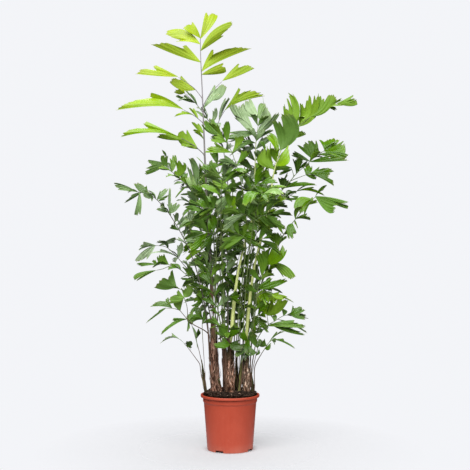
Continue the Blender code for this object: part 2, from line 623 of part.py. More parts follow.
        foot=("shoot_right", 0.040), radii=(0.0024, 0.0010), across=(0.2, 1, 0),
        ribs=[[(0.157, 0.025, 0.503), (0.150, 0.015, 0.545)]],
        leaves=[leaf((0.250, 0.543), (0.310, 0.562), (0.257, 0.580), -0.1, 0.01),
                leaf((0.243, 0.543), (0.307, 0.524), (0.282, 0.546), -0.2, -0.01),
                leaf((0.236, 0.542), (0.324, 0.525), (0.295, 0.552), -0.2, 0.02),
                leaf((0.150, 0.545), (0.237, 0.606), (0.168, 0.602), -0.5, -0.03),
                leaf((0.151, 0.538), (0.106, 0.625), (0.134, 0.618), -0.6, -0.03),
                leaf((0.180, 0.515), (0.187, 0.543), (0.165, 0.541), -0.3, 0.01),
                leaf((0.218, 0.538), (0.230, 0.562), (0.210, 0.573), -0.3, 0.0),
                leaf((0.152, 0.499), (0.305, 0.494), (0.262, 0.516), -0.1, -0.03),
                leaf((0.165, 0.508), (0.305, 0.458), (0.246, 0.491), -0.4, -0.02),
                leaf((0.195, 0.525), (0.319, 0.469), (0.280, 0.497), 0.3, 0.03),
                leaf((0.135, 0.480), (0.090, 0.470), (0.110, 0.490), -0.4, -0.02)]),
    "frond_right_lowest": dict(
        route=[(0.0925, -0.0035, 0.2875), (0.099, -0.012, 0.33), (0.112, -0.022, 0.365),
               (0.141, -0.030, 0.412), (0.159, -0.032, 0.438), (0.175, -0.032, 0.447)],
        foot=("shoot_right", 0.045), radii=(0.0022, 0.0010), across=(0.2, 1, 0),
        leaves=[leaf((0.175, 0.447), (0.262, 0.411), (0.213, 0.449), 0.5, 0.0),
                leaf((0.167, 0.444), (0.190, 0.447), (0.180, 0.426), -0.3, 0.01),
                leaf((0.158, 0.437), (0.221, 0.479), (0.190, 0.477), 0.4, 0.02),
                leaf((0.149, 0.425), (0.106, 0.444), (0.140, 0.450), -0.7, -0.02),
                leaf((0.142, 0.414), (0.163, 0.416), (0.166, 0.434), -0.5, -0.02)]),
    "frond_right_sprig": dict(
        route=[(0.0845, -0.0060, 0.2875), (0.092, -0.021, 0.33), (0.100, -0.038, 0.37),
               (0.108, -0.050, 0.40), (0.112, -0.062, 0.42)],
        radii=(0.0022, 0.0010), across=(1, -0.2, 0),
        leaves=[leaf((0.112, 0.420), (0.080, 0.472), (0.103, 0.476), -0.4, -0.02),
                leaf((0.106, 0.396), (0.062, 0.398), (0.070, 0.425), -0.4, -0.02),
                leaf((0.110, 0.410), (0.124, 0.452), (0.108, 0.447), -0.4, -0.02),
                leaf((0.104, 0.388), (0.120, 0.400), (0.118, 0.414), -0.4, -0.02)]),
    "frond_left_upper": dict(
        route=[(-0.0755, 0.0040, 0.5025), (-0.081, 0.014, 0.70), (-0.091, 0.022, 0.86),
               (-0.110, 0.035, 0.965), (-0.152, 0.052, 1.042), (-0.208, 0.062, 1.103),
               (-0.253, 0.065, 1.142), (-0.264, 0.065, 1.168)],
        radii=(0.0032, 0.0011), across=(0.6, 0.6, -0.3),
        leaves=[leaf((-0.264, 1.168), (-0.349, 1.118), (-0.338, 1.178), -0.1, 0.0),
                leaf((-0.258, 1.150), (-0.284, 1.197), (-0.257, 1.196), -0.4, -0.02),
                leaf((-0.250, 1.140), (-0.292, 1.144), (-0.290, 1.162), -0.2, 0.02),
                leaf((-0.240, 1.130), (-0.226, 1.203), (-0.248, 1.186), -0.4, 0.02),
                leaf((-0.215, 1.108), (-0.186, 1.168), (-0.228, 1.178), -0.3, -0.03),
                leaf((-0.208, 1.102), (-0.231, 1.135), (-0.204, 1.143), -0.3, 0.01),
                leaf((-0.195, 1.090), (-0.176, 1.128), (-0.199, 1.127), -0.3, 0.0),
                leaf((-0.180, 1.074), (-0.225, 1.022), (-0.206, 1.054), 0.2, -0.01),
                leaf((-0.165, 1.058), (-0.150, 1.189), (-0.174, 1.145), -1.2, -0.02),
                leaf((-0.150, 1.040), (-0.207, 1.036), (-0.175, 1.045), -0.2, 0.02),
                leaf((-0.140, 1.022), (-0.120, 1.168), (-0.140, 1.120), -0.6, 0.03),
                leaf((-0.130, 1.005), (-0.177, 1.104), (-0.155, 1.108), -0.4, -0.04)],
        pairs=(0.44, 7, 0.080)),
    "frond_left_far": dict(
        route=[(-0.0845, -0.0125, 0.43), (-0.088, -0.020, 0.50), (-0.105, -0.032, 0.60),
               (-0.129, -0.042, 0.71), (-0.156, -0.048, 0.79), (-0.188, -0.050, 0.86),
               (-0.217, -0.050, 0.912), (-0.247, -0.050, 0.958), (-0.285, -0.050, 1.003),
               (-0.326, -0.050, 1.034), (-0.374, -0.050, 1.044)],
        foot=("stem_left", 0.110), radii=(0.0032, 0.0011), across=(0.5, 0.7, -0.2),
        leaves=[leaf((-0.374, 1.044), (-0.468, 1.080), (-0.450, 1.055), -0.2, 0.0),
                leaf((-0.362, 1.042), (-0.381, 0.951), (-0.363, 0.953), -0.2, -0.02),
                leaf((-0.356, 1.041), (-0.427, 1.000), (-0.400, 1.026), -0.3, 0.03),
                leaf((-0.330, 1.036), (-0.390, 1.079), (-0.338, 1.068), -0.5, 0.02),
                leaf((-0.310, 1.024), (-0.350, 1.032), (-0.314, 1.005), -0.4, -0.02),
                leaf((-0.295, 1.012), (-0.248, 1.056), (-0.280, 1.047), -0.3, 0.01),
                leaf((-0.288, 1.005), (-0.246, 1.031), (-0.262, 1.012), -0.3, -0.02),
                leaf((-0.262, 0.975), (-0.282, 0.999), (-0.265, 1.003), -0.5, 0.03),
                leaf((-0.250, 0.962), (-0.296, 0.972), (-0.272, 0.980), -0.2, -0.02),
                leaf((-0.247, 0.958), (-0.199, 0.992), (-0.236, 0.999), -0.3, 0.0),
                leaf((-0.240, 0.945), (-0.247, 1.063), (-0.238, 1.010), -0.3, 0.03),
                leaf((-0.225, 0.922), (-0.205, 0.958), (-0.228, 0.952), -0.3, -0.03),
                leaf((-0.215, 0.908), (-0.154, 0.956), (-0.188, 0.944), -0.2, 0.02),
                leaf((-0.208, 0.896), (-0.157, 0.923), (-0.176, 0.936), -0.2, -0.02),
                leaf((-0.198, 0.878), (-0.152, 0.906), (-0.178, 0.886), -0.2, 0.03),
                leaf((-0.188, 0.860), (-0.136, 0.998), (-0.165, 0.965), -0.2, 0.05),
                leaf((-0.178, 0.842), (-0.084, 0.868), (-0.150, 0.876), -0.3, -0.03),
                leaf((-0.170, 0.822), (-0.152, 0.940), (-0.158, 0.890), -0.3, -0.02),
                leaf((-0.160, 0.800), (-0.112, 0.845), (-0.140, 0.838), -0.3, 0.02)],
        pairs=(0.30, 7, 0.07)),
    "frond_left_grey": dict(
        route=[(-0.0710, 0.0145, 0.45), (-0.078, 0.030, 0.52), (-0.101, 0.060, 0.61),
               (-0.143, 0.090, 0.69), (-0.186, 0.110, 0.735), (-0.222, 0.120, 0.778),
               (-0.2475, 0.120, 0.803), (-0.273, 0.120, 0.822), (-0.314, 0.120, 0.826)],
        foot=("stem_left", 0.090), radii=(0.0030, 0.0010), across=(0.4, 0.8, -0.3),
        leaves=[leaf((-0.314, 0.826), (-0.402, 0.763), (-0.352, 0.770), -0.3, 0.01),
                leaf((-0.296, 0.826), (-0.229, 0.859), (-0.231, 0.841), -0.2, 0.0),
                leaf((-0.226, 0.782), (-0.345, 0.789), (-0.290, 0.806), 0.7, -0.03),
                leaf((-0.222, 0.778), (-0.198, 0.839), (-0.220, 0.826), -0.6, -0.02),
                leaf((-0.218, 0.774), (-0.246, 0.766), (-0.230, 0.752), -0.3, 0.02)],
        pairs=(0.34, 6, 0.075)),
    "frond_left_mid": dict(
        route=[(-0.0855, 0.0075, 0.44), (-0.100, 0.012, 0.54), (-0.121, 0.014, 0.62),
               (-0.150, 0.016, 0.68), (-0.176, 0.020, 0.705), (-0.203, 0.020, 0.728),
               (-0.232, 0.020, 0.745), (-0.268, 0.020, 0.751), (-0.296, 0.020, 0.748)],
        foot=("stem_left", 0.070), radii=(0.0032, 0.0010), across=(0.3, 0.9, -0.2),
        ribs=[[(-0.238, 0.020, 0.747), (-0.270, 0.000, 0.733), (-0.303, -0.010, 0.726)],
              [(-0.128, 0.014, 0.638), (-0.166, -0.015, 0.642), (-0.200, -0.030, 0.650),
               (-0.218, -0.036, 0.665)]],
        leaves=[leaf((-0.296, 0.748), (-0.385, 0.753), (-0.365, 0.744), -0.1, 0.01),
                leaf((-0.290, 0.749), (-0.323, 0.762), (-0.305, 0.769), -0.3, 0.02),
                leaf((-0.252, 0.749), (-0.299, 0.781), (-0.270, 0.792), -0.5, -0.02),
                leaf((-0.303, 0.726), (-0.392, 0.697), (-0.378, 0.686), -0.5, -0.01),
                leaf((-0.218, 0.665), (-0.305, 0.659), (-0.232, 0.727), -0.2, -0.02),
                leaf((-0.205, 0.652), (-0.256, 0.648), (-0.236, 0.663), 0.3, 0.02),
                leaf((-0.172, 0.702), (-0.155, 0.742), (-0.195, 0.738), -0.3, -0.02),
                leaf((-0.155, 0.686), (-0.206, 0.692), (-0.180, 0.683), -0.2, 0.03),
                leaf((-0.135, 0.655), (-0.185, 0.660), (-0.160, 0.672), -0.2, 0.03)],
        pairs=(0.32, 6, 0.07)),
    "frond_left_low": dict(
        route=[(-0.0850, -0.0025, 0.462), (-0.105, -0.003, 0.483), (-0.135, -0.004, 0.497),
               (-0.158, -0.005, 0.512), (-0.178, -0.006, 0.532), (-0.200, -0.006, 0.560),
               (-0.225, -0.006, 0.571), (-0.262, -0.006, 0.573)],
        foot=("stem_left", 0.050), radii=(0.0024, 0.0010), across=(0.2, 1, -0.2),
        ribs=[[(-0.172, -0.006, 0.525), (-0.172, -0.030, 0.575), (-0.186, -0.045, 0.620)]],
        leaves=[leaf((-0.262, 0.573), (-0.342, 0.512), (-0.286, 0.561), 0.2, 0.0),
                leaf((-0.235, 0.572), (-0.329, 0.577), (-0.252, 0.613), 0.2, 0.02),
                leaf((-0.205, 0.563), (-0.222, 0.612), (-0.190, 0.612), -0.4, -0.02),
                leaf((-0.176, 0.530), (-0.278, 0.467), (-0.228, 0.530), 0.4, -0.02),
                leaf((-0.168, 0.522), (-0.176, 0.475), (-0.166, 0.488), -0.3, 0.02),
                leaf((-0.186, 0.620), (-0.251, 0.595), (-0.208, 0.647), -0.3, -0.01),
                leaf((-0.182, 0.612), (-0.150, 0.668), (-0.196, 0.655), -0.4, -0.02),
                leaf((-0.150, 0.507), (-0.172, 0.545), (-0.150, 0.560), -0.3, 0.02)]),
    "frond_left_lowest": dict(
        route=[(-0.1170, -0.0020, 0.3325), (-0.124, -0.007, 0.348), (-0.141, -0.016, 0.373),
               (-0.168, -0.030, 0.412), (-0.185, -0.035, 0.431)],
        foot=("shoot_left", 0.050), radii=(0.0018, 0.0009), across=(0.3, 1, 0),
        leaves=[leaf((-0.185, 0.431), (-0.286, 0.429), (-0.236, 0.471), 0.7, 0.01),
                leaf((-0.170, 0.415), (-0.157, 0.446), (-0.187, 0.432), -0.6, -0.03),
                leaf((-0.178, 0.424), (-0.155, 0.420), (-0.160, 0.404), -0.3, 0.02)]),
    "frond_left_droop": dict(
        route=[(-0.1120, 0.0050, 0.3325), (-0.118, 0.012, 0.37), (-0.128, 0.016, 0.40),
               (-0.139, 0.020, 0.44), (-0.150, 0.022, 0.48), (-0.158, 0.022, 0.505)],
        foot=("shoot_left", 0.060), radii=(0.0018, 0.0009), across=(0.3, 1, 0),
        leaves=[leaf((-0.154, 0.496), (-0.131, 0.409), (-0.140, 0.455), 0.5, -0.03),
                leaf((-0.158, 0.505), (-0.171, 0.530), (-0.155, 0.545), -0.4, 0.02),
                leaf((-0.140, 0.442), (-0.121, 0.470), (-0.128, 0.486), -0.3, 0.02)]),
    "frond_left_wisp": dict(
        route=[(-0.1085, -0.0045, 0.3325), (-0.114, -0.012, 0.40), (-0.114, -0.014, 0.47),
               (-0.112, -0.016, 0.53)],
        foot=("shoot_left", 0.045), radii=(0.0018, 0.0010), across=(1, 0, 0),
        leaves=[leaf((-0.112, 0.530), (-0.173, 0.527), (-0.152, 0.515), -1.2, -0.03),
                leaf((-0.112, 0.520), (-0.140, 0.572), (-0.118, 0.580), -0.3, 0.01),
                leaf((-0.113, 0.510), (-0.092, 0.560), (-0.108, 0.562), -0.3, -0.02)]),
    "frond_left_inner": dict(
        route=[(-0.0610, 0.0060, 0.5025), (-0.062, 0.012, 0.70), (-0.070, 0.024, 0.90),
               (-0.096, 0.034, 1.02), (-0.132, 0.040, 1.09)],
        radii=(0.0030, 0.0011), across=(0.7, 0.6, 0),
        pairs=(0.42, 10, 0.085)),
    "frond_front_low": dict(
        route=[(0.0020, -0.0455, 0.37), (0.000, -0.060, 0.43), (-0.005, -0.085, 0.475),
               (-0.008, -0.120, 0.495), (-0.010, -0.150, 0.487)],
        foot=("stem_middle", 0.060), radii=(0.0026, 0.0010),
        leaves=[leaf((0.000, 0.440), (-0.062, 0.424), (-0.034, 0.462), -0.4, -0.03),
                leaf((-0.002, 0.460), (-0.046, 0.512), (-0.008, 0.516), -0.4, -0.02),
                leaf((-0.004, 0.470), (0.040, 0.500), (0.022, 0.520), -0.4, -0.03),
                leaf((0.000, 0.435), (0.046, 0.408), (0.040, 0.448), -0.4, -0.03)],
        pairs=(0.62, 2, 0.065)),
    "frond_front_right_low": dict(
        route=[(0.0660, -0.0310, 0.345), (0.068, -0.046, 0.41), (0.070, -0.066, 0.445),
               (0.073, -0.090, 0.455)],
        foot=("stem_right", 0.05), radii=(0.0024, 0.0010),
        leaves=[leaf((0.068, 0.415), (0.044, 0.366), (0.074, 0.378), -0.4, -0.04),
                leaf((0.069, 0.435), (0.026, 0.382), (0.032, 0.428), -0.4, -0.03),
                leaf((0.071, 0.447), (0.104, 0.470), (0.086, 0.490), -0.4, -0.02),
                leaf((0.071, 0.449), (0.034, 0.476), (0.050, 0.494), -0.4, -0.03),
                leaf((0.073, 0.455), (0.060, 0.405), (0.082, 0.412), -0.4, -0.05)]),
    "frond_front_mid": dict(
        route=[(-0.0130, -0.0420, 0.37), (-0.020, -0.056, 0.50), (-0.030, -0.100, 0.70),
               (-0.035, -0.170, 0.92), (-0.030, -0.260, 1.06), (-0.020, -0.340, 1.09)],
        foot=("stem_middle", 0.100), radii=(0.0030, 0.0011),
        pinnae=(0.62, 0.84, 2, 0.095, 0.085), pairs=(0.86, 3, 0.095)),
    "frond_front_right": dict(
        route=[(0.0475, -0.0325, 0.362), (0.052, -0.050, 0.50), (0.065, -0.100, 0.70),
               (0.090, -0.170, 0.90), (0.115, -0.260, 1.01), (0.130, -0.340, 1.02)],
        foot=("cane_right", 0.070), radii=(0.0029, 0.0011),
        pinnae=(0.62, 0.84, 2, 0.095, 0.085), pairs=(0.86, 3, 0.090)),
    "frond_back_left": dict(
        route=[(-0.0270, 0.0080, 0.4195), (-0.030, 0.030, 0.60), (-0.050, 0.080, 0.80),
               (-0.090, 0.160, 0.98), (-0.140, 0.250, 1.08), (-0.180, 0.330, 1.10)],
        foot=("stem_back", 0.080), radii=(0.0032, 0.0011),
        pinnae=(0.52, 0.80, 2, 0.100, 0.085), pairs=(0.82, 3, 0.095)),
    "frond_back": dict(
        route=[(-0.0130, 0.0190, 0.4195), (-0.012, 0.040, 0.60), (0.000, 0.100, 0.85),
               (0.010, 0.190, 1.05), (0.015, 0.290, 1.17), (0.015, 0.380, 1.18)],
        foot=("stem_back", 0.060), radii=(0.0032, 0.0011),
        pinnae=(0.55, 0.82, 3, 0.105, 0.085), pairs=(0.84, 3, 0.095)),
    "frond_centre_front": dict(
        route=[(0.0195, -0.0290, 0.375), (0.026, -0.042, 0.50), (0.040, -0.060, 0.62),
               (0.057, -0.085, 0.75), (0.064, -0.112, 0.87), (0.060, -0.136, 0.98),
               (0.038, -0.158, 1.10), (0.005, -0.172, 1.20), (-0.030, -0.180, 1.255)],
        foot=("stem_middle", 0.080), radii=(0.0030, 0.0011),
        leaves=[leaf((-0.030, 1.255), (-0.112, 1.302), (-0.070, 1.322), -0.3, 0.02),
                leaf((-0.018, 1.235), (-0.075, 1.235), (-0.050, 1.262), -0.3, -0.02)],
        pinnae=(0.50, 0.82, 3, 0.090, 0.080), pairs=(0.82, 4, 0.085)),
    "frond_centre_right": dict(
        route=[(0.0630, 0.0055, 0.35), (0.070, 0.022, 0.55), (0.086, 0.026, 0.78),
               (0.118, 0.004, 0.98), (0.135, -0.018, 1.12), (0.140, -0.030, 1.20)],
        foot=("stem_right", 0.080), radii=(0.0028, 0.0011),
        pinnae=(0.46, 0.84, 4, 0.085, 0.080), pairs=(0.82, 4, 0.085)),
    "frond_centre_left": dict(
        route=[(-0.0620, -0.0230, 0.42), (-0.060, -0.036, 0.60), (-0.055, -0.060, 0.80),
               (-0.045, -0.090, 0.97), (-0.040, -0.110, 1.08), (-0.050, -0.120, 1.15)],
        foot=("stem_left", 0.100), radii=(0.0034, 0.0011),
        pinnae=(0.42, 0.80, 4, 0.085, 0.080), pairs=(0.80, 4, 0.085)),
    "frond_low_centre": dict(
        route=[(-0.0180, -0.0310, 0.36), (-0.036, -0.050, 0.50), (-0.058, -0.088, 0.62),
               (-0.078, -0.135, 0.72), (-0.090, -0.185, 0.76)],
        foot=("stem_middle", 0.070), radii=(0.0030, 0.0010),
        pairs=(0.30, 8, 0.080)),
    "frond_low_back": dict(
        route=[(-0.0280, 0.0260, 0.38), (-0.050, 0.050, 0.50), (-0.090, 0.110, 0.62),
               (-0.120, 0.170, 0.68), (-0.140, 0.220, 0.68)],
        foot=("stem_back", 0.070), radii=(0.0030, 0.0010),
        pinnae=(0.36, 0.80, 3, 0.075, 0.070), pairs=(0.80, 3, 0.080)),
    "frond_low_back_right": dict(
        route=[(0.0370, 0.0240, 0.31), (0.053, 0.046, 0.42), (0.080, 0.100, 0.55),
               (0.110, 0.160, 0.63), (0.140, 0.210, 0.64)],
        foot=("stem_back_right", 0.050), radii=(0.0028, 0.0010),
        pinnae=(0.36, 0.80, 3, 0.075, 0.070), pairs=(0.80, 3, 0.080)),
    "frond_back_right": dict(
        route=[(0.0265, 0.0285, 0.3375), (0.036, 0.056, 0.50), (0.060, 0.100, 0.72),
               (0.100, 0.180, 0.92), (0.150, 0.270, 1.03), (0.190, 0.340, 1.05)],
        foot=("stem_back_right", 0.050), radii=(0.0028, 0.0011),
        pinnae=(0.52, 0.80, 2, 0.100, 0.085), pairs=(0.82, 3, 0.095)),
    "frond_mid_left": dict(
        route=[(-0.0570, 0.0116, 0.43), (-0.052, 0.030, 0.52), (-0.048, 0.055, 0.62),
               (-0.060, 0.085, 0.72), (-0.085, 0.110, 0.79)],
        foot=("stem_left", 0.080), radii=(0.0028, 0.0010),
        pinnae=(0.26, 0.82, 4, 0.080, 0.070), pairs=(0.82, 3, 0.080)),
    "frond_mid_back": dict(
        route=[(0.0142, -0.0123, 0.36), (0.018, 0.000, 0.45), (0.020, 0.030, 0.55),
               (0.022, 0.070, 0.66), (0.030, 0.100, 0.75), (0.045, 0.125, 0.81)],
        foot=("stem_middle", 0.060), radii=(0.0028, 0.0010),
        pinnae=(0.34, 0.84, 4, 0.080, 0.070), pairs=(0.84, 3, 0.080)),
    "frond_mid_centre": dict(
        route=[(-0.0147, -0.0148, 0.34), (-0.018, -0.012, 0.42), (-0.026, -0.008, 0.52),
               (-0.035, 0.000, 0.62), (-0.030, 0.018, 0.72), (-0.010, 0.028, 0.80),
               (0.015, 0.036, 0.85)],
        foot=("stem_middle", 0.050), radii=(0.0028, 0.0010),
        pinnae=(0.36, 0.86, 4, 0.075, 0.070), pairs=(0.86, 3, 0.080)),
    "frond_mid_right": dict(
        route=[(0.0743, 0.0030, 0.345), (0.080, 0.018, 0.44), (0.095, 0.040, 0.54),
               (0.115, 0.055, 0.62), (0.140, 0.060, 0.69), (0.175, 0.060, 0.735)],
        foot=("stem_right", 0.040), radii=(0.0026, 0.0010),
        pinnae=(0.28, 0.82, 4, 0.080, 0.070), pairs=(0.82, 3, 0.080)),
}


# ------------------------------------------------------------------ materials and objects
def material(name, colour, roughness):
    made = bpy.data.materials.new(name)
    made.use_nodes = True
    shader = next(node for node in made.node_tree.nodes if node.type == "BSDF_PRINCIPLED")
    shader.inputs["Base Color"].default_value = (*colour, 1.0)
    shader.inputs["Roughness"].default_value = roughness
    shader.inputs["Metallic"].default_value = 0.0
    return made


def put(name, bm, colour, roughness):
    """Turn a finished bmesh into an object, facing out, with a material of its own."""
    bmesh.ops.recalc_face_normals(bm, faces=bm.faces)
    if bm.calc_volume(signed=True) < 0:
        bmesh.ops.reverse_faces(bm, faces=bm.faces)
    mesh = bpy.data.meshes.new(name)
    bm.to_mesh(mesh)
    bm.free()
    obj = bpy.data.objects.new(name, mesh)
    bpy.context.scene.collection.objects.link(obj)
    mesh.materials.append(material(name + "_colour", colour, roughness))
    return obj


def lathe(profile, sides):
    """A closed solid of revolution; a profile point at radius nought becomes one vertex."""
    bm = bmesh.new()
    rings = []
    for radius, height in profile:
        if radius == 0.0:
            rings.append([bm.verts.new((0.0, 0.0, height))])
            continue
        angles = [2 * math.pi * index / sides for index in range(sides)]
        rings.append([bm.verts.new((radius * math.cos(a), radius * math.sin(a), height))
                      for a in angles])
    for near, far in zip(rings, rings[1:]):
        for index in range(sides):
            after = (index + 1) % sides
            if len(near) == 1:
                bm.faces.new((near[0], far[index], far[after]))
            elif len(far) == 1:
                bm.faces.new((near[index], near[after], far[0]))
            else:
                bm.faces.new((near[index], near[after], far[after], far[index]))
    return bm


def cut(obj, name, bm):
    """Take a closed shape away from an object."""
    cutter = put(name, bm, (0.5, 0.5, 0.5), 0.5)
    cutter.hide_render = True
    cutter.display_type = "WIRE"
    boolean = obj.modifiers.new(name, "BOOLEAN")
    boolean.operation = "DIFFERENCE"
    boolean.solver = "EXACT"
    boolean.object = cutter


# ------------------------------------------------------------------ pot, soil and stems
def pot_profile():
    """Radius and height, from the underside's middle up the outside and down the inside."""
    step = POT_HEIGHT - LIP_HEIGHT - BAND_HEIGHT
    lip = POT_HEIGHT - LIP_HEIGHT
    below = BAND_RADIUS - STEP_DEPTH
    return [
        (0.0, FOOT_HEIGHT),
        (FOOT_RADIUS - 0.0030, FOOT_HEIGHT),
        (FOOT_RADIUS - 0.0030, 0.0),
        (FOOT_RADIUS, 0.0),
        (below, step - 0.0035),
        (below + 0.0033, step + 0.0010),
        (BAND_RADIUS, lip - 0.0005),
        (RIM_RADIUS - 0.0015, lip),
        (RIM_RADIUS, lip + 0.0025),
        (RIM_RADIUS, POT_HEIGHT - 0.0040),
        (RIM_RADIUS - 0.0020, POT_HEIGHT - 0.0007),
        (RIM_RADIUS - 0.0050, POT_HEIGHT),
        (BAND_RADIUS + 0.0012, POT_HEIGHT - 0.0013),
        (BAND_RADIUS - 0.0016, lip + 0.0040),
        (BAND_RADIUS - WALL - 0.0003, step + 0.0015),
        (below - WALL, step - 0.0035),
        (FOOT_RADIUS - 0.0013, FOOT_HEIGHT + WALL),
        (0.0, FOOT_HEIGHT + WALL),
    ]


def drain_hole_cutters():
    """Upright rods through the pot's floor, in one bmesh."""
    bm = bmesh.new()
    for index in range(HOLE_COUNT):
        angle = math.radians(NOTCH_TURN) + 2 * math.pi * (index + 0.5) / HOLE_COUNT
        made = bmesh.ops.create_cone(bm, cap_ends=True, segments=10, radius1=HOLE_RADIUS,
                                     radius2=HOLE_RADIUS, depth=0.02)
        bmesh.ops.translate(bm, verts=made["verts"], vec=(HOLE_CIRCLE * math.sin(angle),
                                                          -HOLE_CIRCLE * math.cos(angle),
                                                          FOOT_HEIGHT))
    return bm


def notch_cutters():
    """Boxes across the foot ring, in one bmesh."""
    bm = bmesh.new()
    for index in range(4):
        angle = math.radians(NOTCH_TURN + 90 * index)
        made = bmesh.ops.create_cube(bm, size=1.0)
        bmesh.ops.scale(bm, verts=made["verts"], vec=(NOTCH_WIDTH, 0.020, NOTCH_HEIGHT * 2))
        bmesh.ops.rotate(bm, verts=made["verts"], cent=(0, 0, 0),
                         matrix=Matrix.Rotation(angle, 3, "Z"))
        bmesh.ops.translate(bm, verts=made["verts"], vec=(FOOT_RADIUS * math.sin(angle),
                                                          -FOOT_RADIUS * math.cos(angle), 0.0))
    return bm


def build_pot():
    pot = put("pot", lathe(pot_profile(), POT_SIDES), (0.52, 0.085, 0.045), 0.5)
    cut(pot, "foot_gaps", notch_cutters())
    cut(pot, "drain_holes", drain_hole_cutters())
    return pot


def soil_profile():
    """Radius and height: along the pot's inner wall with a gap, and up to a low mound."""
    gap = GAP + 0.0001
    floor = FOOT_HEIGHT + WALL
    step = POT_HEIGHT - LIP_HEIGHT - BAND_HEIGHT
    below = BAND_RADIUS - STEP_DEPTH
    return [
        (0.0, floor + gap),
        (FOOT_RADIUS - 0.0013 - gap * 2, floor + gap),
        (below - WALL - gap * 2, step - 0.0035 + gap),
        (BAND_RADIUS - WALL - 0.0003 - gap * 3, step + 0.0022),
        (BAND_RADIUS - WALL - gap * 3, SOIL_EDGE - 0.0015),
        (BAND_RADIUS - 0.0100, SOIL_EDGE + 0.0010),
        (0.085, SOIL_EDGE + 0.0070),
        (0.050, SOIL_EDGE + 0.0140),
        (0.020, SOIL_CROWN - 0.0005),
        (0.0, SOIL_CROWN),
    ]


def stem_rings(points, foot, top):
    """Centres and radii up a stem, which flares towards its foot."""
    line = smooth(points, 0.045)
    low, high = line[0].z, line[-1].z
    return [(centre, top + (foot - top) * ((high - centre.z) / (high - low)) ** 1.5)
            for centre in line]


def stem_at(name, height):
    """A stem's centre and radius at a height."""
    points, foot, top, _ = STEMS[name]
    rings = stem_rings(points, foot, top)
    for (low, below), (high, above) in zip(rings, rings[1:]):
        if height <= high.z or high is rings[-1][0]:
            share = (height - low.z) / (high.z - low.z)
            return low.lerp(high, share), below + (above - below) * share


def clasping(route, thick, stem, depth):
    """A midrib's route with its foot led down beside the stem that it springs from."""
    first = Vector(route[0])
    centre, _ = stem_at(stem, first.z)
    out = Vector((first.x - centre.x, first.y - centre.y, 0.0)).normalized()
    feet = []
    for height in (first.z - depth, first.z - depth / 2, first.z):
        centre, radius = stem_at(stem, height)
        feet.append(centre + out * (radius + thick * math.sqrt(2) + CLASP_CLEAR))
    return feet + [Vector(point) for point in route[1:]]


def stem_mesh(rings, sides, spare=0.0):
    """A tapering tube with level rings, so that its cut ends lie flat."""
    bm = bmesh.new()
    rows = []
    for centre, radius in rings:
        angles = [2 * math.pi * (index + 0.5) / sides for index in range(sides)]
        rows.append([bm.verts.new(centre + Vector((math.cos(a), math.sin(a), 0.0))
                                  * (radius + spare)) for a in angles])
    for near, far in zip(rows, rows[1:]):
        for index in range(sides):
            after = (index + 1) % sides
            bm.faces.new((near[index], near[after], far[after], far[index]))
    bm.faces.new(list(reversed(rows[0])))
    bm.faces.new(rows[-1])
    return bm


def socket_mesh(rings, sides):
    """The stem's shape up to clear of the soil, made larger by a gap, for cutting its socket."""
    low = [ring for ring in rings if ring[0].z < SOIL_CROWN + 0.02]
    low.append(rings[len(low)])
    first, radius = low[0]
    low[0] = (first - Vector((0, 0, GAP * 1.5)), radius)
    return stem_mesh(low, sides, GAP * 1.5)


STEM_COLOURS = {
    "stem_left": (0.085, 0.055, 0.035),
    "root_left": (0.240, 0.105, 0.060),
    "stem_middle": (0.130, 0.055, 0.025),
    "stem_back": (0.050, 0.040, 0.022),
    "stem_right": (0.290, 0.190, 0.110),
    "cane_right": (0.270, 0.290, 0.070),
    "stem_back_right": (0.050, 0.045, 0.022),
    "shoot_left": (0.130, 0.140, 0.045),
    "shoot_right": (0.200, 0.200, 0.060),
}


def build_soil_and_stems():
    soil = put("soil", lathe(soil_profile(), POT_SIDES), (0.018, 0.012, 0.008), 0.95)
    for name, (points, foot, top, sides) in STEMS.items():
        rings = stem_rings(points, foot, top)
        put(name, stem_mesh(rings, sides), STEM_COLOURS[name], 0.7)
        cut(soil, name + "_socket", socket_mesh(rings, sides))


# ------------------------------------------------------------------ the whole clump
SEED = 17
FROND_GREEN = (0.045, 0.150, 0.022)
CROWN_GREEN = (0.300, 0.440, 0.012)


def shape_of(bm):
    """Corners and faces of a bmesh, for the space that it takes; the bmesh is let go."""
    bm.verts.index_update()
    shape = ([vert.co.copy() for vert in bm.verts],
             [[vert.index for vert in face.verts] for face in bm.faces])
    bm.free()
    return shape


def taken_space():
    space = Space()
    space.take("pot", "wall", shape_of(lathe(pot_profile(), POT_SIDES)))
    space.take("soil", "wall", shape_of(lathe(soil_profile(), POT_SIDES)))
    for name, (points, foot, top, sides) in STEMS.items():
        space.take(name, "wall", shape_of(stem_mesh(stem_rings(points, foot, top), sides,
                                                STEM_CLEAR)))
    return space


def main_rib(plan):
    across = Vector(plan["across"]) if "across" in plan else None
    route = plan["route"]
    if "foot" in plan:
        route = clasping(route, plan["radii"][0], *plan["foot"])
    return Rib(route, *plan["radii"], across)


def planned_ribs(midrib, plan):
    """The side ribs that a plan gives by their points."""
    ribs = []
    for points in plan.get("ribs", ()):
        distance = midrib.nearest(points[0][0], points[0][2])
        thick = midrib.radius(distance)
        points = [midrib.point(distance)] + [Vector(point) for point in points[1:]]
        rib = Rib(points, max(0.0014, thick * 0.6), 0.0010, midrib.heading(distance))
        rib.start = thick * 1.6 + 0.002
        spring(midrib, distance, rib, rib.heading(rib.start))
        ribs.append(rib)
    return ribs


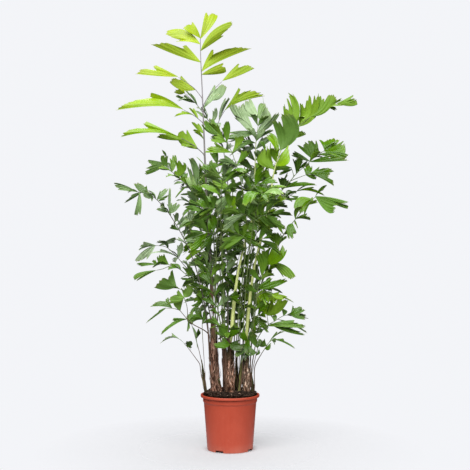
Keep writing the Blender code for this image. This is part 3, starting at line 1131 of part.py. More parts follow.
def ruled_pinnae(space, name, midrib, rng, first, last, pairs, length, leaflet):
    """Pairs of side ribs with leaflets of their own, between two shares of the midrib."""
    for row in range(pairs):
        distance = midrib.length * (first + (last - first) * (row + 0.3) / pairs)
        for sign in (1, -1):
            for _ in range(6):
                pinna, aim = side_rib(midrib, rng, distance, sign, length * rng.uniform(0.8, 1.1))
                if not space.meets(pinna.tube(CLEAR), name, ("rib", "leaflet", "foot")):
                    space.take(name, "rib", pinna.tube(CLEAR))
                    spring(midrib, distance, pinna, aim)
                    leaf_out(space, name, pinna, rng, 0.42, 2, leaflet)
                    break


def grow_clump():
    """Every frond's midrib with all that springs from it, grown so that no two pieces meet."""
    space = taken_space()
    ribs = {name: [main_rib(plan)] for name, plan in FRONDS.items()}
    for name, plan in FRONDS.items():
        space.take(name, "rib", ribs[name][0].tube(RIB_CLEAR))
    for name, plan in FRONDS.items():
        ribs[name] += planned_ribs(ribs[name][0], plan)
        for rib in ribs[name][1:]:
            space.take(name, "rib", rib.tube(RIB_CLEAR))
    for name, plan in FRONDS.items():
        place_leaflets(space, name, ribs[name], plan.get("leaves", ()))
    for index, (name, plan) in enumerate(FRONDS.items()):
        rng = random.Random(SEED + index)
        midrib = ribs[name][0]
        if "pinnae" in plan:
            ruled_pinnae(space, name, midrib, rng, *plan["pinnae"])
        if "pairs" in plan:
            leaf_out(space, name, midrib, rng, *plan["pairs"])
    return {name: found[0] for name, found in ribs.items()}


def build_fronds():
    for name, midrib in grow_clump().items():
        bm = bmesh.new()
        grow(bm, midrib)
        bmesh.ops.triangulate(bm, faces=bm.faces, quad_method="SHORT_EDGE")
        colour = CROWN_GREEN if name == "frond_crown" else FROND_GREEN
        put(name, bm, colour, 0.4)


def centre_on_box():
    """Move everything so that the box round the plant is centred over the origin."""
    corners = [vert.co for obj in bpy.data.objects if not obj.hide_render
               for vert in obj.data.vertices]
    middle = Vector([(min(co[axis] for co in corners) + max(co[axis] for co in corners)) / 2
                     for axis in (0, 1)] + [0.0])
    for obj in bpy.data.objects:
        obj.data.transform(Matrix.Translation(-middle))
    print("pot axis at", [round(-value, 4) for value in middle])


for startup in list(bpy.data.objects):
    bpy.data.objects.remove(startup, do_unlink=True)

build_pot()
build_soil_and_stems()
build_fronds()
centre_on_box()
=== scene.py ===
# %% [markdown]
# # A potted fishtail palm
# A fishtail palm (Caryota mitis) grows as a clump: a few fibrous stems, tall fronds split twice,
# and leaflets shaped like a fish's tail, narrow at the base and bitten off along the far margin.
# The frame is a plain but exact model of the plant: square ribs, flat leaflets, a faceted pot.
# This lesson grows the real surface over each plain piece, so that every place and size comes
# from the frame, and only the finish is decided here.

# %% Load the frame
import json
import math
import random

import bmesh
import bpy
import numpy as np
from mathutils import Matrix, Vector, noise

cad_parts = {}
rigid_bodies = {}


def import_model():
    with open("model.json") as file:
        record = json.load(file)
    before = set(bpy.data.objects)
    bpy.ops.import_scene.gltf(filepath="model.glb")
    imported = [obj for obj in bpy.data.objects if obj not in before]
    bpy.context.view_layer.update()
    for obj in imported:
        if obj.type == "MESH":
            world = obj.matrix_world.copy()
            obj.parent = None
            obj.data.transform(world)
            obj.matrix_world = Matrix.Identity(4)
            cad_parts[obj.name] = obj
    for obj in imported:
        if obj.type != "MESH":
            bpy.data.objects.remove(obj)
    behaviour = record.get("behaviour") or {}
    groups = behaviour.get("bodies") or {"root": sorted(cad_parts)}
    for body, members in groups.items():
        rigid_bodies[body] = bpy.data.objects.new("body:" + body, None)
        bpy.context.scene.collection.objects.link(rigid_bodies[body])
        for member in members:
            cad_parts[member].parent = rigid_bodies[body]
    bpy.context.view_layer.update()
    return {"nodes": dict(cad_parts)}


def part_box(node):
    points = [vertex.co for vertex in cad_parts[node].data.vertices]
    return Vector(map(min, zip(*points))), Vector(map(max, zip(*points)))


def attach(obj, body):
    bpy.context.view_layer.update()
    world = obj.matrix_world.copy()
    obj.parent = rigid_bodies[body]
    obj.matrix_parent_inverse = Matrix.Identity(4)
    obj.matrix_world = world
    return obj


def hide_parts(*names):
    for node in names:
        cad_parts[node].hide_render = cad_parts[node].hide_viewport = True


for startup in list(bpy.data.objects):
    bpy.data.objects.remove(startup, do_unlink=True)

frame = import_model()
nodes = frame["nodes"]
frond_names = sorted(name for name in nodes if name.startswith("frond_"))
print("the frame has", len(nodes), "nodes,", len(frond_names), "of them fronds")

# %% [markdown]
# ## Where things stand
# Almost everything in the plant is placed round the pot's upright axis, so it is measured once.
# Heights are read from the boxes of the pot and the soil.

# %% Measure the pot and the soil
pot_low, pot_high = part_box("pot")
pot_axis = Vector(((pot_low.x + pot_high.x) / 2, (pot_low.y + pot_high.y) / 2, 0.0))
rim_radius = (pot_high.x - pot_low.x) / 2
pot_height = pot_high.z - pot_low.z
soil_low, soil_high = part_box("soil")
soil_radius = (soil_high.x - soil_low.x) / 2
print("pot axis", [round(value, 4) for value in pot_axis], "rim radius", round(rim_radius, 4))

# %% [markdown]
# ## Small tools
# A piece is made from lists of corners and faces. Smooth shading suits a leaf or a pot, but a
# smooth shade across a sharp edge looks like a smear, so edges steeper than an angle stay sharp.
# Values painted on the corners, such as how old a leaflet is, are read later by the materials.

# %% Make a piece, paint it and let it stand for its node
def put(name, data):
    """Add an object to the scene."""
    made = bpy.data.objects.new(name, data)
    bpy.context.scene.collection.objects.link(made)
    return made


def new_piece(name, corners, faces, materials, sharp):
    mesh = bpy.data.meshes.new(name)
    mesh.from_pydata(corners, [], faces)
    for material in materials:
        mesh.materials.append(material)
    mesh.shade_smooth()
    mesh.set_sharp_from_angle(angle=math.radians(sharp))
    return put(name, mesh)


def paint(piece, label, values):
    layer = piece.data.attributes.new(label, "FLOAT", "POINT")
    layer.data.foreach_set("value", np.asarray(values, np.float32))


def stand_for(piece, node):
    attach(piece, "root")
    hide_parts(node)


# %% [markdown]
# Stems, stalks, the mound and the pot are all made of rings of corners, one above the other.

# %% Rings of corners
def unit(value):
    """The value, held between 0 and 1."""
    return min(1.0, max(0.0, value))


def outward(angle):
    return Vector((math.cos(angle), math.sin(angle), 0.0))


def ring_quads(rings, sides, first=0):
    """Four-sided faces between neighbouring rings, from the corner called first on."""
    quads = []
    for start in range(first, first + (rings - 1) * sides, sides):
        for side in range(sides):
            a, b = start + side, start + (side + 1) % sides
            quads.append((a, b, b + sides, a + sides))
    return quads


def tube_faces(rings, sides, first=0):
    """The faces of a tube that is closed at both ends."""
    last = first + (rings - 1) * sides
    return ring_quads(rings, sides, first) + [tuple(range(first + sides - 1, first - 1, -1)),
                                              tuple(range(last, last + sides))]


# %% [markdown]
# ## Wiring materials
# Materials are built from nodes in code. A small helper adds a node and fills its sockets: a
# plain value is written on the socket, and another node's output is linked to it. An output can
# be reckoned with like a number, and what is wired again and again has a short name.

# %% Reckon with a node's output
class Value:
    """A node's output; a sum or a product with it adds a Math node."""
    def __init__(self, wires, socket):
        self.wires, self.socket = wires, socket

    def __add__(self, other):
        return self.wires.math("ADD", self, other)

    def __sub__(self, other):
        return self.wires.math("SUBTRACT", self, other)

    def __rsub__(self, other):
        return self.wires.math("SUBTRACT", other, self)

    def __mul__(self, other):
        return self.wires.math("MULTIPLY", self, other)

    def __rtruediv__(self, other):
        return self.wires.math("DIVIDE", other, self)

    def clamped(self):
        self.socket.node.use_clamp = True
        return self


# %% Add nodes and links in one call
def solid(colour):
    return (*colour, 1.0) if isinstance(colour, tuple) else colour


class Wiring:
    def __init__(self, tree):
        self.tree = tree

    def node(self, kind, inputs=None, **settings):
        node = self.tree.nodes.new(kind)
        for label, value in settings.items():
            setattr(node, label, value)
        for socket, value in (inputs or {}).items():
            if isinstance(value, Value):
                self.tree.links.new(value.socket, node.inputs[socket])
            else:
                node.inputs[socket].default_value = value
        return node

    def values(self, node):
        return {socket.name: Value(self, socket) for socket in node.outputs if socket.enabled}

    def add(self, kind, inputs=None, out=0, **settings):
        """Add a node, and return one of its outputs."""
        return Value(self, self.node(kind, inputs, **settings).outputs[out])

    def use(self, name, **given):
        """Add a shared group, and return its output, or each of several."""
        node = self.node("ShaderNodeGroup", given, node_tree=bpy.data.node_groups[name])
        first, *others = self.values(node).values()
        return [first, *others] if others else first

    def give(self, **results):
        """End a group with what it puts out."""
        for label in results:
            self.tree.interface.new_socket(name=label, in_out="OUTPUT",
                                           socket_type="NodeSocketFloat")
        self.node("NodeGroupOutput", results)

    def show(self, shader):
        self.node("ShaderNodeOutputMaterial", {"Surface": shader})

    def place(self):
        return self.add("ShaderNodeTexCoord", out="Object")

    def height(self):
        return self.add("ShaderNodeSeparateXYZ", {0: self.place()}, 2)

    def painted(self, label):
        return self.add("ShaderNodeAttribute", out="Fac", attribute_name=label)

    def math(self, operation, first, second=0.0):
        return self.add("ShaderNodeMath", {0: first, 1: second}, operation=operation)

    def vector(self, operation, first, second, socket=1):
        return self.add("ShaderNodeVectorMath", {0: first, socket: second}, operation=operation)

    def blend(self, share, first, second, kind="MIX"):
        return self.add("ShaderNodeMix", {0: share, 6: solid(first), 7: solid(second)}, 2,
                        data_type="RGBA", blend_type=kind)

    def ramp(self, share, *stops):
        node = self.node("ShaderNodeValToRGB", {0: share})
        band = node.color_ramp.elements
        while len(band) < len(stops):
            band.new(0.5)
        for element, (place, colour) in zip(band, stops):
            element.position, element.color = place, solid(colour)
        return Value(self, node.outputs[0])

    def mix_shader(self, share, first, second):
        return self.add("ShaderNodeMixShader", {0: share, 1: first, 2: second})

    def skin(self, colour, rough, height, strength, distance, specular=0.5, refraction=1.5):
        """A Principled shader with a bump, whose distance is in metres."""
        bump = self.add("ShaderNodeBump", {"Strength": strength, "Distance": distance,
                                           "Height": height})
        return self.add("ShaderNodeBsdfPrincipled", {
            "Base Color": colour, "Roughness": rough, "Normal": bump, "IOR": refraction,
            "Specular IOR Level": specular})


# %% Start a group or a material
def group(name, **inputs):
    """Start a shared group, and return its wiring and what it is given."""
    made = bpy.data.node_groups.new(name, "ShaderNodeTree")
    for label, value in inputs.items():
        made.interface.new_socket(name=label, in_out="INPUT",
                                  socket_type="NodeSocketFloat").default_value = value
    wires = Wiring(made)
    return wires, wires.values(wires.node("NodeGroupInput"))


def new_material(name):
    material = bpy.data.materials.new(name)
    material.use_nodes = True
    material.node_tree.nodes.clear()
    return material, Wiring(material.node_tree)


# %% [markdown]
# ## Four effects that many materials share
# Real surfaces are never one colour. Mottling is a soft cloudy change, such as the patches on a
# leaf. Grain is noise that is stretched along the stem, as fibres are. Speckle is the fine dirt
# and pores that catch the light. Cracks are the dark, curling gaps between the strips of an old
# sheath. Each is a node group, built once, and each material that uses one gives it its own size.

# %% Mottling
wires, given = group("mottling", Size=0.02, Contrast=1.0)
clouds = wires.add("ShaderNodeTexNoise", {"Vector": wires.place(), "Scale": 1.0 / given["Size"],
                                          "Detail": 3.0})
wires.give(Cloud=((clouds - 0.5) * given["Contrast"] + 0.5).clamped())
print("made the group mottling")

# %% Grain along a stem
def stretched(wires, place, given):
    """The place, divided by a width across the stem and a length along it."""
    across, along = 1.0 / given["Width"], 1.0 / given["Length"]
    stretch = wires.add("ShaderNodeCombineXYZ", {0: across, 1: across, 2: along})
    return wires.vector("MULTIPLY", place, stretch)


wires, given = group("grain", Width=0.002, Length=0.04)
wires.give(Fibre=wires.add("ShaderNodeTexNoise", {
    "Vector": stretched(wires, wires.place(), given), "Scale": 1.0, "Detail": 4.0,
    "Distortion": 0.6}))
print("made the group grain")

# %% Speckle
SPECK_RADIUS = 0.38         # against the distance from one speck to the next

wires, given = group("speckle", Size=0.001, Amount=0.5)
cells = wires.values(wires.node("ShaderNodeTexVoronoi", {
    "Vector": wires.place(), "Scale": 1.0 / given["Size"]}))
chance = wires.add("ShaderNodeSeparateColor", {0: cells["Color"]})
chosen = wires.math("LESS_THAN", chance, given["Amount"])
wires.give(Specks=chosen * wires.math("LESS_THAN", cells["Distance"], SPECK_RADIUS))
print("made the group speckle")

# %% Cracks between fibres
CRACK_SHARPNESS = 3.6

wires, given = group("cracks", Width=0.006, Length=0.022, Warp=0.006)
place = wires.place()
swirl = wires.add("ShaderNodeTexNoise", {"Vector": place, "Scale": 60.0, "Detail": 2.0},
                  "Color")
offset = wires.vector("SUBTRACT", swirl, (0.5, 0.5, 0.5))
warped = wires.vector("ADD", place, wires.vector("SCALE", offset, given["Warp"], 3))
distance = wires.add("ShaderNodeTexVoronoi", {
    "Vector": stretched(wires, warped, given), "Scale": 1.0}, "Distance",
    feature="DISTANCE_TO_EDGE")
wires.give(Crack=(1.0 - distance * CRACK_SHARPNESS).clamped())
print("made the group cracks")

# %% [markdown]
# ## Leaf veins
# A fishtail leaflet has no midvein: its veins fan out from the base to the bitten margin. Each
# leaflet's corners will be painted with "vein", from 0 at its smooth edge to 1 at its shoulder,
# so lines of equal vein value run exactly as the veins do.

# %% The vein group
wires, given = group("leaf veins", Vein=0.0, Count=22.0)
turns = given["Vein"] * given["Count"] * (2 * math.pi)
wave = (wires.math("COSINE", turns) + 1.0) * 0.5
broad = wires.math("COSINE", turns * 0.25)
wires.give(Lines=wires.math("POWER", wave, 5.0), Relief=wave + broad * 0.6)
print("made the group leaf veins")

# %% [markdown]
# ## Leaf materials
# A young leaflet is lime green, soft and matt; an old one is dark, tough, glossier and more
# strongly veined. Two painted values steer this: the youth value runs from an old leaflet to a
# new one, and is lowered as painted shade for a leaflet inside or behind the clump; the bloom
# value is partly the pale waxy film and partly a painted sheen, which together make some
# leaflets look silvery. A Translucent shader is mixed with the Principled one, because light
# that falls on the back of a leaf glows through.

# %% Make the leaf's upper side and underside
OLD_LEAF = (0.007, 0.030, 0.001)
GROWN_LEAF = (0.068, 0.184, 0.001)
FRESH_LEAF = (0.185, 0.340, 0.003)
# a young leaflet's lime, made brighter than its own colour by a painted glow of light shining
# through from behind
LIME_WITH_PAINTED_GLOW = (0.292, 0.378, 0.002)
PALE_VEIN = (0.240, 0.400, 0.030)
LIME_VEIN = (0.400, 0.480, 0.012)
SHADOW_GREEN = (0.010, 0.030, 0.003)
# pale grey-green laid over a leaflet, partly a waxy film and partly a painted sheen
PALE_BLOOM_AND_SHEEN = (0.440, 0.560, 0.350)
UNDERSIDE = (0.130, 0.230, 0.050)
DRY_MARGIN = (0.240, 0.210, 0.060)
GLOW = (0.50, 0.75, 0.02)   # what the light takes on as it passes through a leaf
RIM_SHARPNESS = 26.0        # the higher, the narrower the dry rim


def leaf_material(name, pale, gloss, through):
    material, wires = new_material(name)
    youth, bloom, along = (wires.painted(label) for label in ("youth", "bloom", "along"))
    clouds = wires.use("mottling", Size=0.030, Contrast=1.3)
    fine = wires.use("mottling", Size=0.004, Contrast=1.6)
    lines, relief = wires.use("leaf veins", Vein=wires.painted("vein"))
    green = wires.ramp((youth + (clouds - 0.5) * 0.22).clamped(), (0.0, OLD_LEAF),
                       (0.42, GROWN_LEAF), (0.72, FRESH_LEAF), (1.0, LIME_WITH_PAINTED_GLOW))
    veined = wires.blend(lines * (0.26 - youth * 0.18), green,
                         wires.blend(youth, PALE_VEIN, LIME_VEIN))
    patchy = wires.blend(fine * 0.5 * (1.05 - youth), veined,
                         wires.blend(0.5, veined, SHADOW_GREEN))
    # painted sheen: the bloom value lays the pale grey-green over the leaf, partly as a waxy film
    # and partly as a painted highlight
    bloomed_and_sheened = wires.blend(bloom * (clouds + 0.45), patchy, PALE_BLOOM_AND_SHEEN)
    rim = wires.math("POWER", along, RIM_SHARPNESS)
    colour = wires.blend(pale, wires.blend(rim * 0.45, bloomed_and_sheened, DRY_MARGIN), UNDERSIDE)
    skin = wires.skin(colour, fine * 0.12 + youth * 0.26 + gloss, relief * (1.15 - youth),
                      0.35, 0.0008, 0.50, 1.42)
    lit = wires.blend(0.6, colour, GLOW, "SOFT_LIGHT")
    wires.show(wires.mix_shader(through, skin, wires.add("ShaderNodeBsdfTranslucent",
                                                         {"Color": lit})))
    return material


leaf_face = leaf_material("leaf upper side", 0.0, 0.08, 0.15)
leaf_back = leaf_material("leaf underside", 0.18, 0.34, 0.17)
print("made", leaf_face.name, "and", leaf_back.name)

# %% [markdown]
# ## Reading a leaflet from the frame
# In the frame each leaflet is a thin plate with four places: its base on the rib, its tail, its
# blunt corner and the bulge of its hem, which is its smooth edge. The plate is 0.8 mm thick at
# the tail, 1.2 mm at the corner and 1.0 mm at the hem, so those three short edges tell which
# corner of the plate is which.

# %% Find every leaflet of a frond
TAIL_EDGE = 0.0008
CORNER_EDGE = 0.0012
HEM_EDGE = 0.0010
EDGE_SLACK = 0.00004


def welded(node):
    bm = bmesh.new()
    bm.from_mesh(nodes[node].data)
    bmesh.ops.remove_doubles(bm, verts=bm.verts, dist=1e-6)
    return bm


def neighbours(vert):
    return {edge.other_vert(vert) for edge in vert.link_edges}


def apart(pair):
    return (pair[0].co - pair[1].co).length


def middle(verts):
    """The mean place of some corners, added up in a fixed order."""
    places = sorted(tuple(vert.co) for vert in verts)
    return sum((Vector(place) for place in places), Vector()) / len(places)


def corner_and_hem(ring):
    first, *others = ring
    for mate in others:
        pairs = [(first, mate), tuple(vert for vert in others if vert is not mate)]
        pairs.sort(key=apart)
        if (abs(apart(pairs[0]) - HEM_EDGE) < EDGE_SLACK
                and abs(apart(pairs[1]) - CORNER_EDGE) < EDGE_SLACK):
            return pairs[1], pairs[0]
    return None


def read_leaflets(bm):
    found, used = [], set()
    for vert in bm.verts:
        tail = {vert} | {near for near in neighbours(vert)
                         if apart((near, vert)) < TAIL_EDGE + EDGE_SLACK}
        ring = set().union(*(neighbours(tip) for tip in tail)) - tail
        if vert in used or len(tail) > 2 or len(ring) != 4:
            continue
        pairs = corner_and_hem(sorted(ring, key=lambda corner: tuple(corner.co)))
        if pairs is None:
            continue
        root = set().union(*(neighbours(corner) for corner in ring)) - ring - tail
        found.append({"base": middle(root), "tail": middle(tail), "corner": middle(pairs[0]),
                      "hem": middle(pairs[1]), "plate": ring | tail})
        used |= ring | tail
    return found


# %% [markdown]
# ## The shape of a leaflet
# The blade is a fan: its veins start together at the base, and run between the smooth edge, a
# curve from base to tail, and the shoulder, a curve from base to blunt corner. The veins stop at
# different lengths. That makes the bitten margin: a broad bulge along the tail, a bite beside the
# blunt corner, splits that run down between two veins, and small irregular teeth. Then the flat
# fan is given its depth: it arches, cups along its length, ripples at the margin and is pleated
# along the veins, like folded paper.

# %% Curves and the lengths of the veins
SHORTEST_VEIN = 0.42        # no split reaches deeper than this share of the leaflet


def arc(start, through, end, share):
    """Points on a curve from start to end that passes through a third place half way."""
    bend = through * 2 - (start + end) / 2
    share = share[..., None]
    return start * (1 - share) ** 2 + bend * 2 * share * (1 - share) + end * share ** 2


def hump(vein, place, width):
    return np.exp(-((vein - place) / width) ** 2)


def vein_lengths(rng, vein, slender, torn):
    """How far each vein reaches, where 1 is the straight line from corner to tail."""
    bulge = rng.uniform(0.02, 0.09) + 0.03 * slender
    bite = rng.uniform(0.07, 0.20) + 0.10 * slender
    lobe = hump(vein, rng.uniform(0.30, 0.50), 0.20) * bulge
    notch = hump(vein, rng.uniform(0.66, 0.84), 0.11) * bite
    for split in range(rng.randint(1 if torn > 0.5 else 0, 1 + round(1.6 * torn))):
        place, gape = rng.uniform(0.10, 0.66), rng.uniform(0.035, 0.065)
        notch += hump(vein, place, gape) * rng.uniform(0.12, 0.44) * torn
    reach = np.maximum(1.0 + lobe - notch, SHORTEST_VEIN)
    index = 1
    while index < len(vein) - 2:
        width = rng.randint(2, 4)
        depth = rng.uniform(0.02, 0.04 + 0.14 * torn)
        for step in range(min(width, len(vein) - 1 - index)):
            reach[index + step] += depth * (step / (width - 1) - 0.5)
        index += width
    return reach


# %% The blade as a grid of points
SMALL_BLADE = 0.045         # a shorter blade has the coarse grid
COARSE_GRID, FINE_GRID = (12, 6), (20, 9)     # columns across the veins, rows along them
ROOT_SINK = 0.0012          # how far the blade's base is sunk into the rib
HALF_BASE = 0.0009          # half the width of its base
DEEPEST_PLEAT = 0.0011


def blade(leaflet, rng, torn, spread, folded):
    base, tail, corner, hem = (np.array(leaflet[place], float)
                               for place in ("base", "tail", "corner", "hem"))
    length = np.linalg.norm(tail - base)
    columns, rows = COARSE_GRID if length < SMALL_BLADE else FINE_GRID
    vein = np.linspace(0.0, 1.0, columns + 1)
    along = np.linspace(0.0, 1.0, rows + 1)
    slender = unit(length / np.linalg.norm(corner - base) - 1.2)
    reach = vein_lengths(rng, vein, slender, torn * (1 - 0.6 * slender))

    aim = (tail + corner - 2 * base) / np.linalg.norm(tail + corner - 2 * base)
    facing = np.cross(tail - base, corner - base)
    facing /= np.linalg.norm(facing)
    if facing[2] < 0:
        facing = -facing
    over = corner - hem
    over -= aim * over.dot(aim)
    over /= np.linalg.norm(over)
    hem, corner = hem - over * length * spread, corner + over * length * spread
    root = base - aim * ROOT_SINK
    stride = along[:, None] * reach[None, :]
    smooth_edge = arc(root - over * HALF_BASE, hem, tail, stride)
    shoulder_way = (root + corner) / 2 + over * length * rng.uniform(-0.015, 0.035)
    shoulder = arc(root + over * HALF_BASE, shoulder_way, corner, stride)
    fan = smooth_edge * (1 - vein[None, :, None]) + shoulder * vein[None, :, None]

    arch = np.sin(np.pi * along)[:, None] * length * rng.uniform(0.02, 0.080)
    width = np.linalg.norm(shoulder - smooth_edge, axis=2)
    cup = np.abs(2 * vein - 1.0)[None, :] ** 1.5 * width * rng.uniform(0.06, 0.22)
    cup *= (1 - along * 0.55)[:, None]
    folds = rng.choice((3, 4, 5))
    pleat = np.abs((vein * folds + rng.random()) % 1.0 - 0.5) * 4 - 1
    pleat = pleat[None, :] * np.minimum(along * 2.5, 1.0)[:, None]
    pleat *= min(DEEPEST_PLEAT, length * 0.009) * folded
    phase, beat = rng.uniform(0, 6.28), rng.uniform(1.1, 2.0)
    ripple = np.sin(vein * math.pi * beat + phase)[None, :] * (along ** 2)[:, None]
    ripple *= length * rng.uniform(0.010, 0.032)
    droop = -((1 - vein) ** 2)[None, :] * (along ** 3)[:, None] * length * 0.06
    depth = arch + cup + pleat + ripple + droop
    return fan + facing * depth[..., None], vein, along


# %% Close the blade into a thin shell
BLADE_THICKNESS = 0.0005


def shell_faces(rows, columns):
    """Faces of the upper side, the underside and the rim between two stacked grids."""
    grid = np.arange((rows + 1) * (columns + 1)).reshape(rows + 1, columns + 1)
    top = np.dstack((grid[:-1, :-1], grid[:-1, 1:], grid[1:, 1:], grid[1:, :-1])).reshape(-1, 4)
    edge = np.concatenate((grid[0, :-1], grid[:-1, -1], grid[-1, :0:-1], grid[:0:-1, 0]))
    after = np.roll(edge, -1)
    rim = np.column_stack((after, edge, edge + grid.size, after + grid.size))
    return top, top[:, ::-1] + grid.size, rim


def grid_normals(points):
    normal = np.cross(np.gradient(points, axis=1), np.gradient(points, axis=0))
    size = np.linalg.norm(normal, axis=2, keepdims=True)
    return normal / np.maximum(size, 1e-12)


def blade_shell(leaflet, rng, torn, spread, folded):
    points, vein, along = blade(leaflet, rng, torn, spread, folded)
    normal = grid_normals(points)
    if normal[-2, len(vein) // 2, 2] < 0:
        points, normal, vein = points[:, ::-1], -normal[:, ::-1], vein[::-1]
    rows, columns = len(along) - 1, len(vein) - 1
    half = BLADE_THICKNESS / 2
    corners = np.concatenate([(points + normal * half).reshape(-1, 3),
                              (points - normal * half).reshape(-1, 3)])
    veins = np.tile(np.tile(vein, rows + 1), 2)
    steps = np.tile(np.repeat(along, columns + 1), 2)
    return corners, shell_faces(rows, columns), veins, steps


# %% [markdown]
# ## How old each frond is, with painted shade and sheen
# New fronds open at the top of a stem, so the crown is lime green, and the fronds low in the
# clump are the oldest and darkest. The table gives each frond its youth, its bloom with its
# painted sheen, and the kind of stalk. A leaflet then varies round its frond's values: one deep
# inside the clump or behind it is more torn, and is painted darker with less sheen, as painted
# shade; on a waxy frond a few get extra bloom as a painted sheen. Single bright leaflets, and
# silvery ones with painted sheen, are picked out by where their tails are, in metres from the
# pot's axis.

# %% Youth, bloom with painted sheen, and stalk of each frond
CANE, GREEN, DUSKY = "pale cane", "green stalk", "dusky stalk"
FROND_LOOK = {
    "crown": (0.93, 0.00, DUSKY), "crown_behind": (0.30, 0.24, DUSKY),
    "centre": (0.40, 0.42, CANE), "centre_front": (0.46, 0.01, GREEN),
    "centre_left": (0.40, 0.03, GREEN), "centre_right": (0.42, 0.03, GREEN),
    "top_right": (0.57, 0.00, CANE), "right_fans": (0.34, 0.00, GREEN),
    "right_arch": (0.50, 0.00, GREEN), "right_reach": (0.48, 0.00, GREEN),
    "right_low": (0.38, 0.06, GREEN), "left_far": (0.16, 0.22, DUSKY),
    "left_grey": (0.20, 0.52, DUSKY), "left_mid": (0.42, 0.03, GREEN),
    "left_upper": (0.46, 0.03, DUSKY), "left_low": (0.36, 0.14, GREEN),
    "back": (0.28, 0.02, GREEN), "back_left": (0.28, 0.04, GREEN),
    "back_right": (0.28, 0.02, GREEN), "front_low": (0.24, 0.00, GREEN),
    "front_right_low": (0.24, 0.00, GREEN), "mid_left": (0.32, 0.02, DUSKY),
    "mid_back": (0.24, 0.01, GREEN), "mid_centre": (0.36, 0.02, GREEN),
    "mid_right": (0.38, 0.02, CANE),
}
ORDINARY_FROND = (0.40, 0.01, GREEN)

# tail's x and z, how near, youth, bloom with its painted sheen
ACCENTS = [
    (0.145, 1.444, 0.02, 0.85, 0.00), (0.100, 1.555, 0.03, 0.90, 0.00),
    (0.000, 1.404, 0.05, 0.42, 0.75), (0.046, 1.405, 0.03, 0.50, 0.80),
    (0.162, 1.382, 0.03, 0.60, 0.75), (-0.003, 1.445, 0.02, 0.30, 0.85),
    (-0.054, 1.398, 0.02, 0.30, 0.80), (0.237, 0.606, 0.03, 0.70, 0.00),
    (0.106, 0.625, 0.03, 0.68, 0.00), (0.224, 0.813, 0.03, 0.52, 0.00),
    (0.262, 0.705, 0.03, 0.56, 0.00), (-0.246, 1.492, 0.04, 0.95, 0.00),
    (-0.040, 1.438, 0.02, 0.34, 0.50), (-0.013, 1.474, 0.02, 0.34, 0.60),
    (0.184, 1.345, 0.03, 0.34, 0.06), (0.260, 1.360, 0.03, 0.34, 0.06),
]
FRONT_ONLY = 0.16           # an accent's tail is no further back than this

CROWN_FROM = 1.40           # above this height every leaflet is in full light
CLUMP_RADIUS = 0.20
SILVER_FROM = 1.28          # the centre frond is silvery, with bloom and painted sheen, only above this height
PAINTED_SHEEN_SHARE = 0.13        # of a waxy frond's leaflets, how many get extra bloom as a painted sheen
LOWEST_LIME = 1.50          # below this height the crown's leaflets are made darker


# %% The look of one leaflet
def look_of(frond):
    return FROND_LOOK.get(frond.removeprefix("frond_"), ORDINARY_FROND)


def below_crown(tail):
    return unit((CROWN_FROM - tail.z) / 0.15)


def depth_inside(leaflet):
    """How deep inside the clump a leaflet is, from 0 outside to 1 on the pot's axis."""
    tail = leaflet["tail"] - pot_axis
    return max(0.0, 1.0 - math.hypot(tail.x, tail.y - 0.06) / CLUMP_RADIUS) * below_crown(tail)


def leaflet_look(frond, leaflet, rng):
    youth, bloom, _ = look_of(frond)
    youth += rng.uniform(-0.42, 0.50) * (0.98 - youth) * 0.7
    tail = leaflet["tail"] - pot_axis
    inside = depth_inside(leaflet)
    behind = unit(tail.y / CLUMP_RADIUS) * below_crown(tail)
    # painted shade: a leaflet deep inside the clump or behind it is made darker, and its bloom and
    # painted sheen are cut back
    youth -= 0.36 * inside + 0.18 * behind
    bloom *= rng.uniform(0.1, 1.5) * (1.0 - 0.9 * inside)
    # painted sheen: a few leaflets of a waxy frond get extra bloom, as a painted highlight
    if bloom > 0.0 and rng.random() < PAINTED_SHEEN_SHARE:
        bloom += rng.uniform(0.12, 0.40) * (1.0 - 0.4 * inside)
    if frond == "frond_crown":
        youth -= max(0.0, LOWEST_LIME - tail.z) * 0.90
    if frond == "frond_centre" and tail.z < SILVER_FROM:
        youth, bloom = 0.5 * youth, 0.3 * bloom
    for x, z, near, accent_youth, accent_bloom_and_sheen in ACCENTS:
        if math.hypot(tail.x - x, tail.z - z) < near and tail.y < FRONT_ONLY:
            youth, bloom = accent_youth, accent_bloom_and_sheen
    return unit(youth), min(1.0, bloom)


# %% Grow all the leaflets of a frond as one piece
# how torn outside and how much more inside the clump, how far spread, how deeply folded
ORDINARY_BLADE = (0.60, 1.30, 0.035, 1.0)
BLADE_LOOK = {"frond_crown": (0.10, 0.0, 0.035, 0.5), "frond_top_right": (0.80, 0.4, 0.070, 0.9)}


def grow_leaflets(frond, leaflets):
    rng = random.Random(frond)
    corners, faces, finishes = [], [], []
    painted = {"vein": [], "along": [], "youth": [], "bloom": []}
    total = 0
    plain, sheltered, spread, folded = BLADE_LOOK.get(frond, ORDINARY_BLADE)
    for leaflet in leaflets:
        torn = plain + sheltered * depth_inside(leaflet)
        points, sheets, veins, steps = blade_shell(leaflet, rng, torn, spread, folded)
        youth, bloom = leaflet_look(frond, leaflet, rng)
        for finish, sheet in zip((0, 1, 0), sheets):
            faces += (sheet + total).tolist()
            finishes += [finish] * len(sheet)
        corners.append(points)
        for label, values in zip(painted, (veins, steps, youth, bloom)):
            painted[label].append(np.broadcast_to(values, len(points)))
        total += len(points)
    piece = new_piece(frond + "_leaflets", np.concatenate(corners).tolist(), faces,
                      [leaf_face, leaf_back], 55.0)
    piece.data.polygons.foreach_set("material_index", finishes)
    for label, values in painted.items():
        paint(piece, label, np.concatenate(values))
    stand_for(piece, frond)


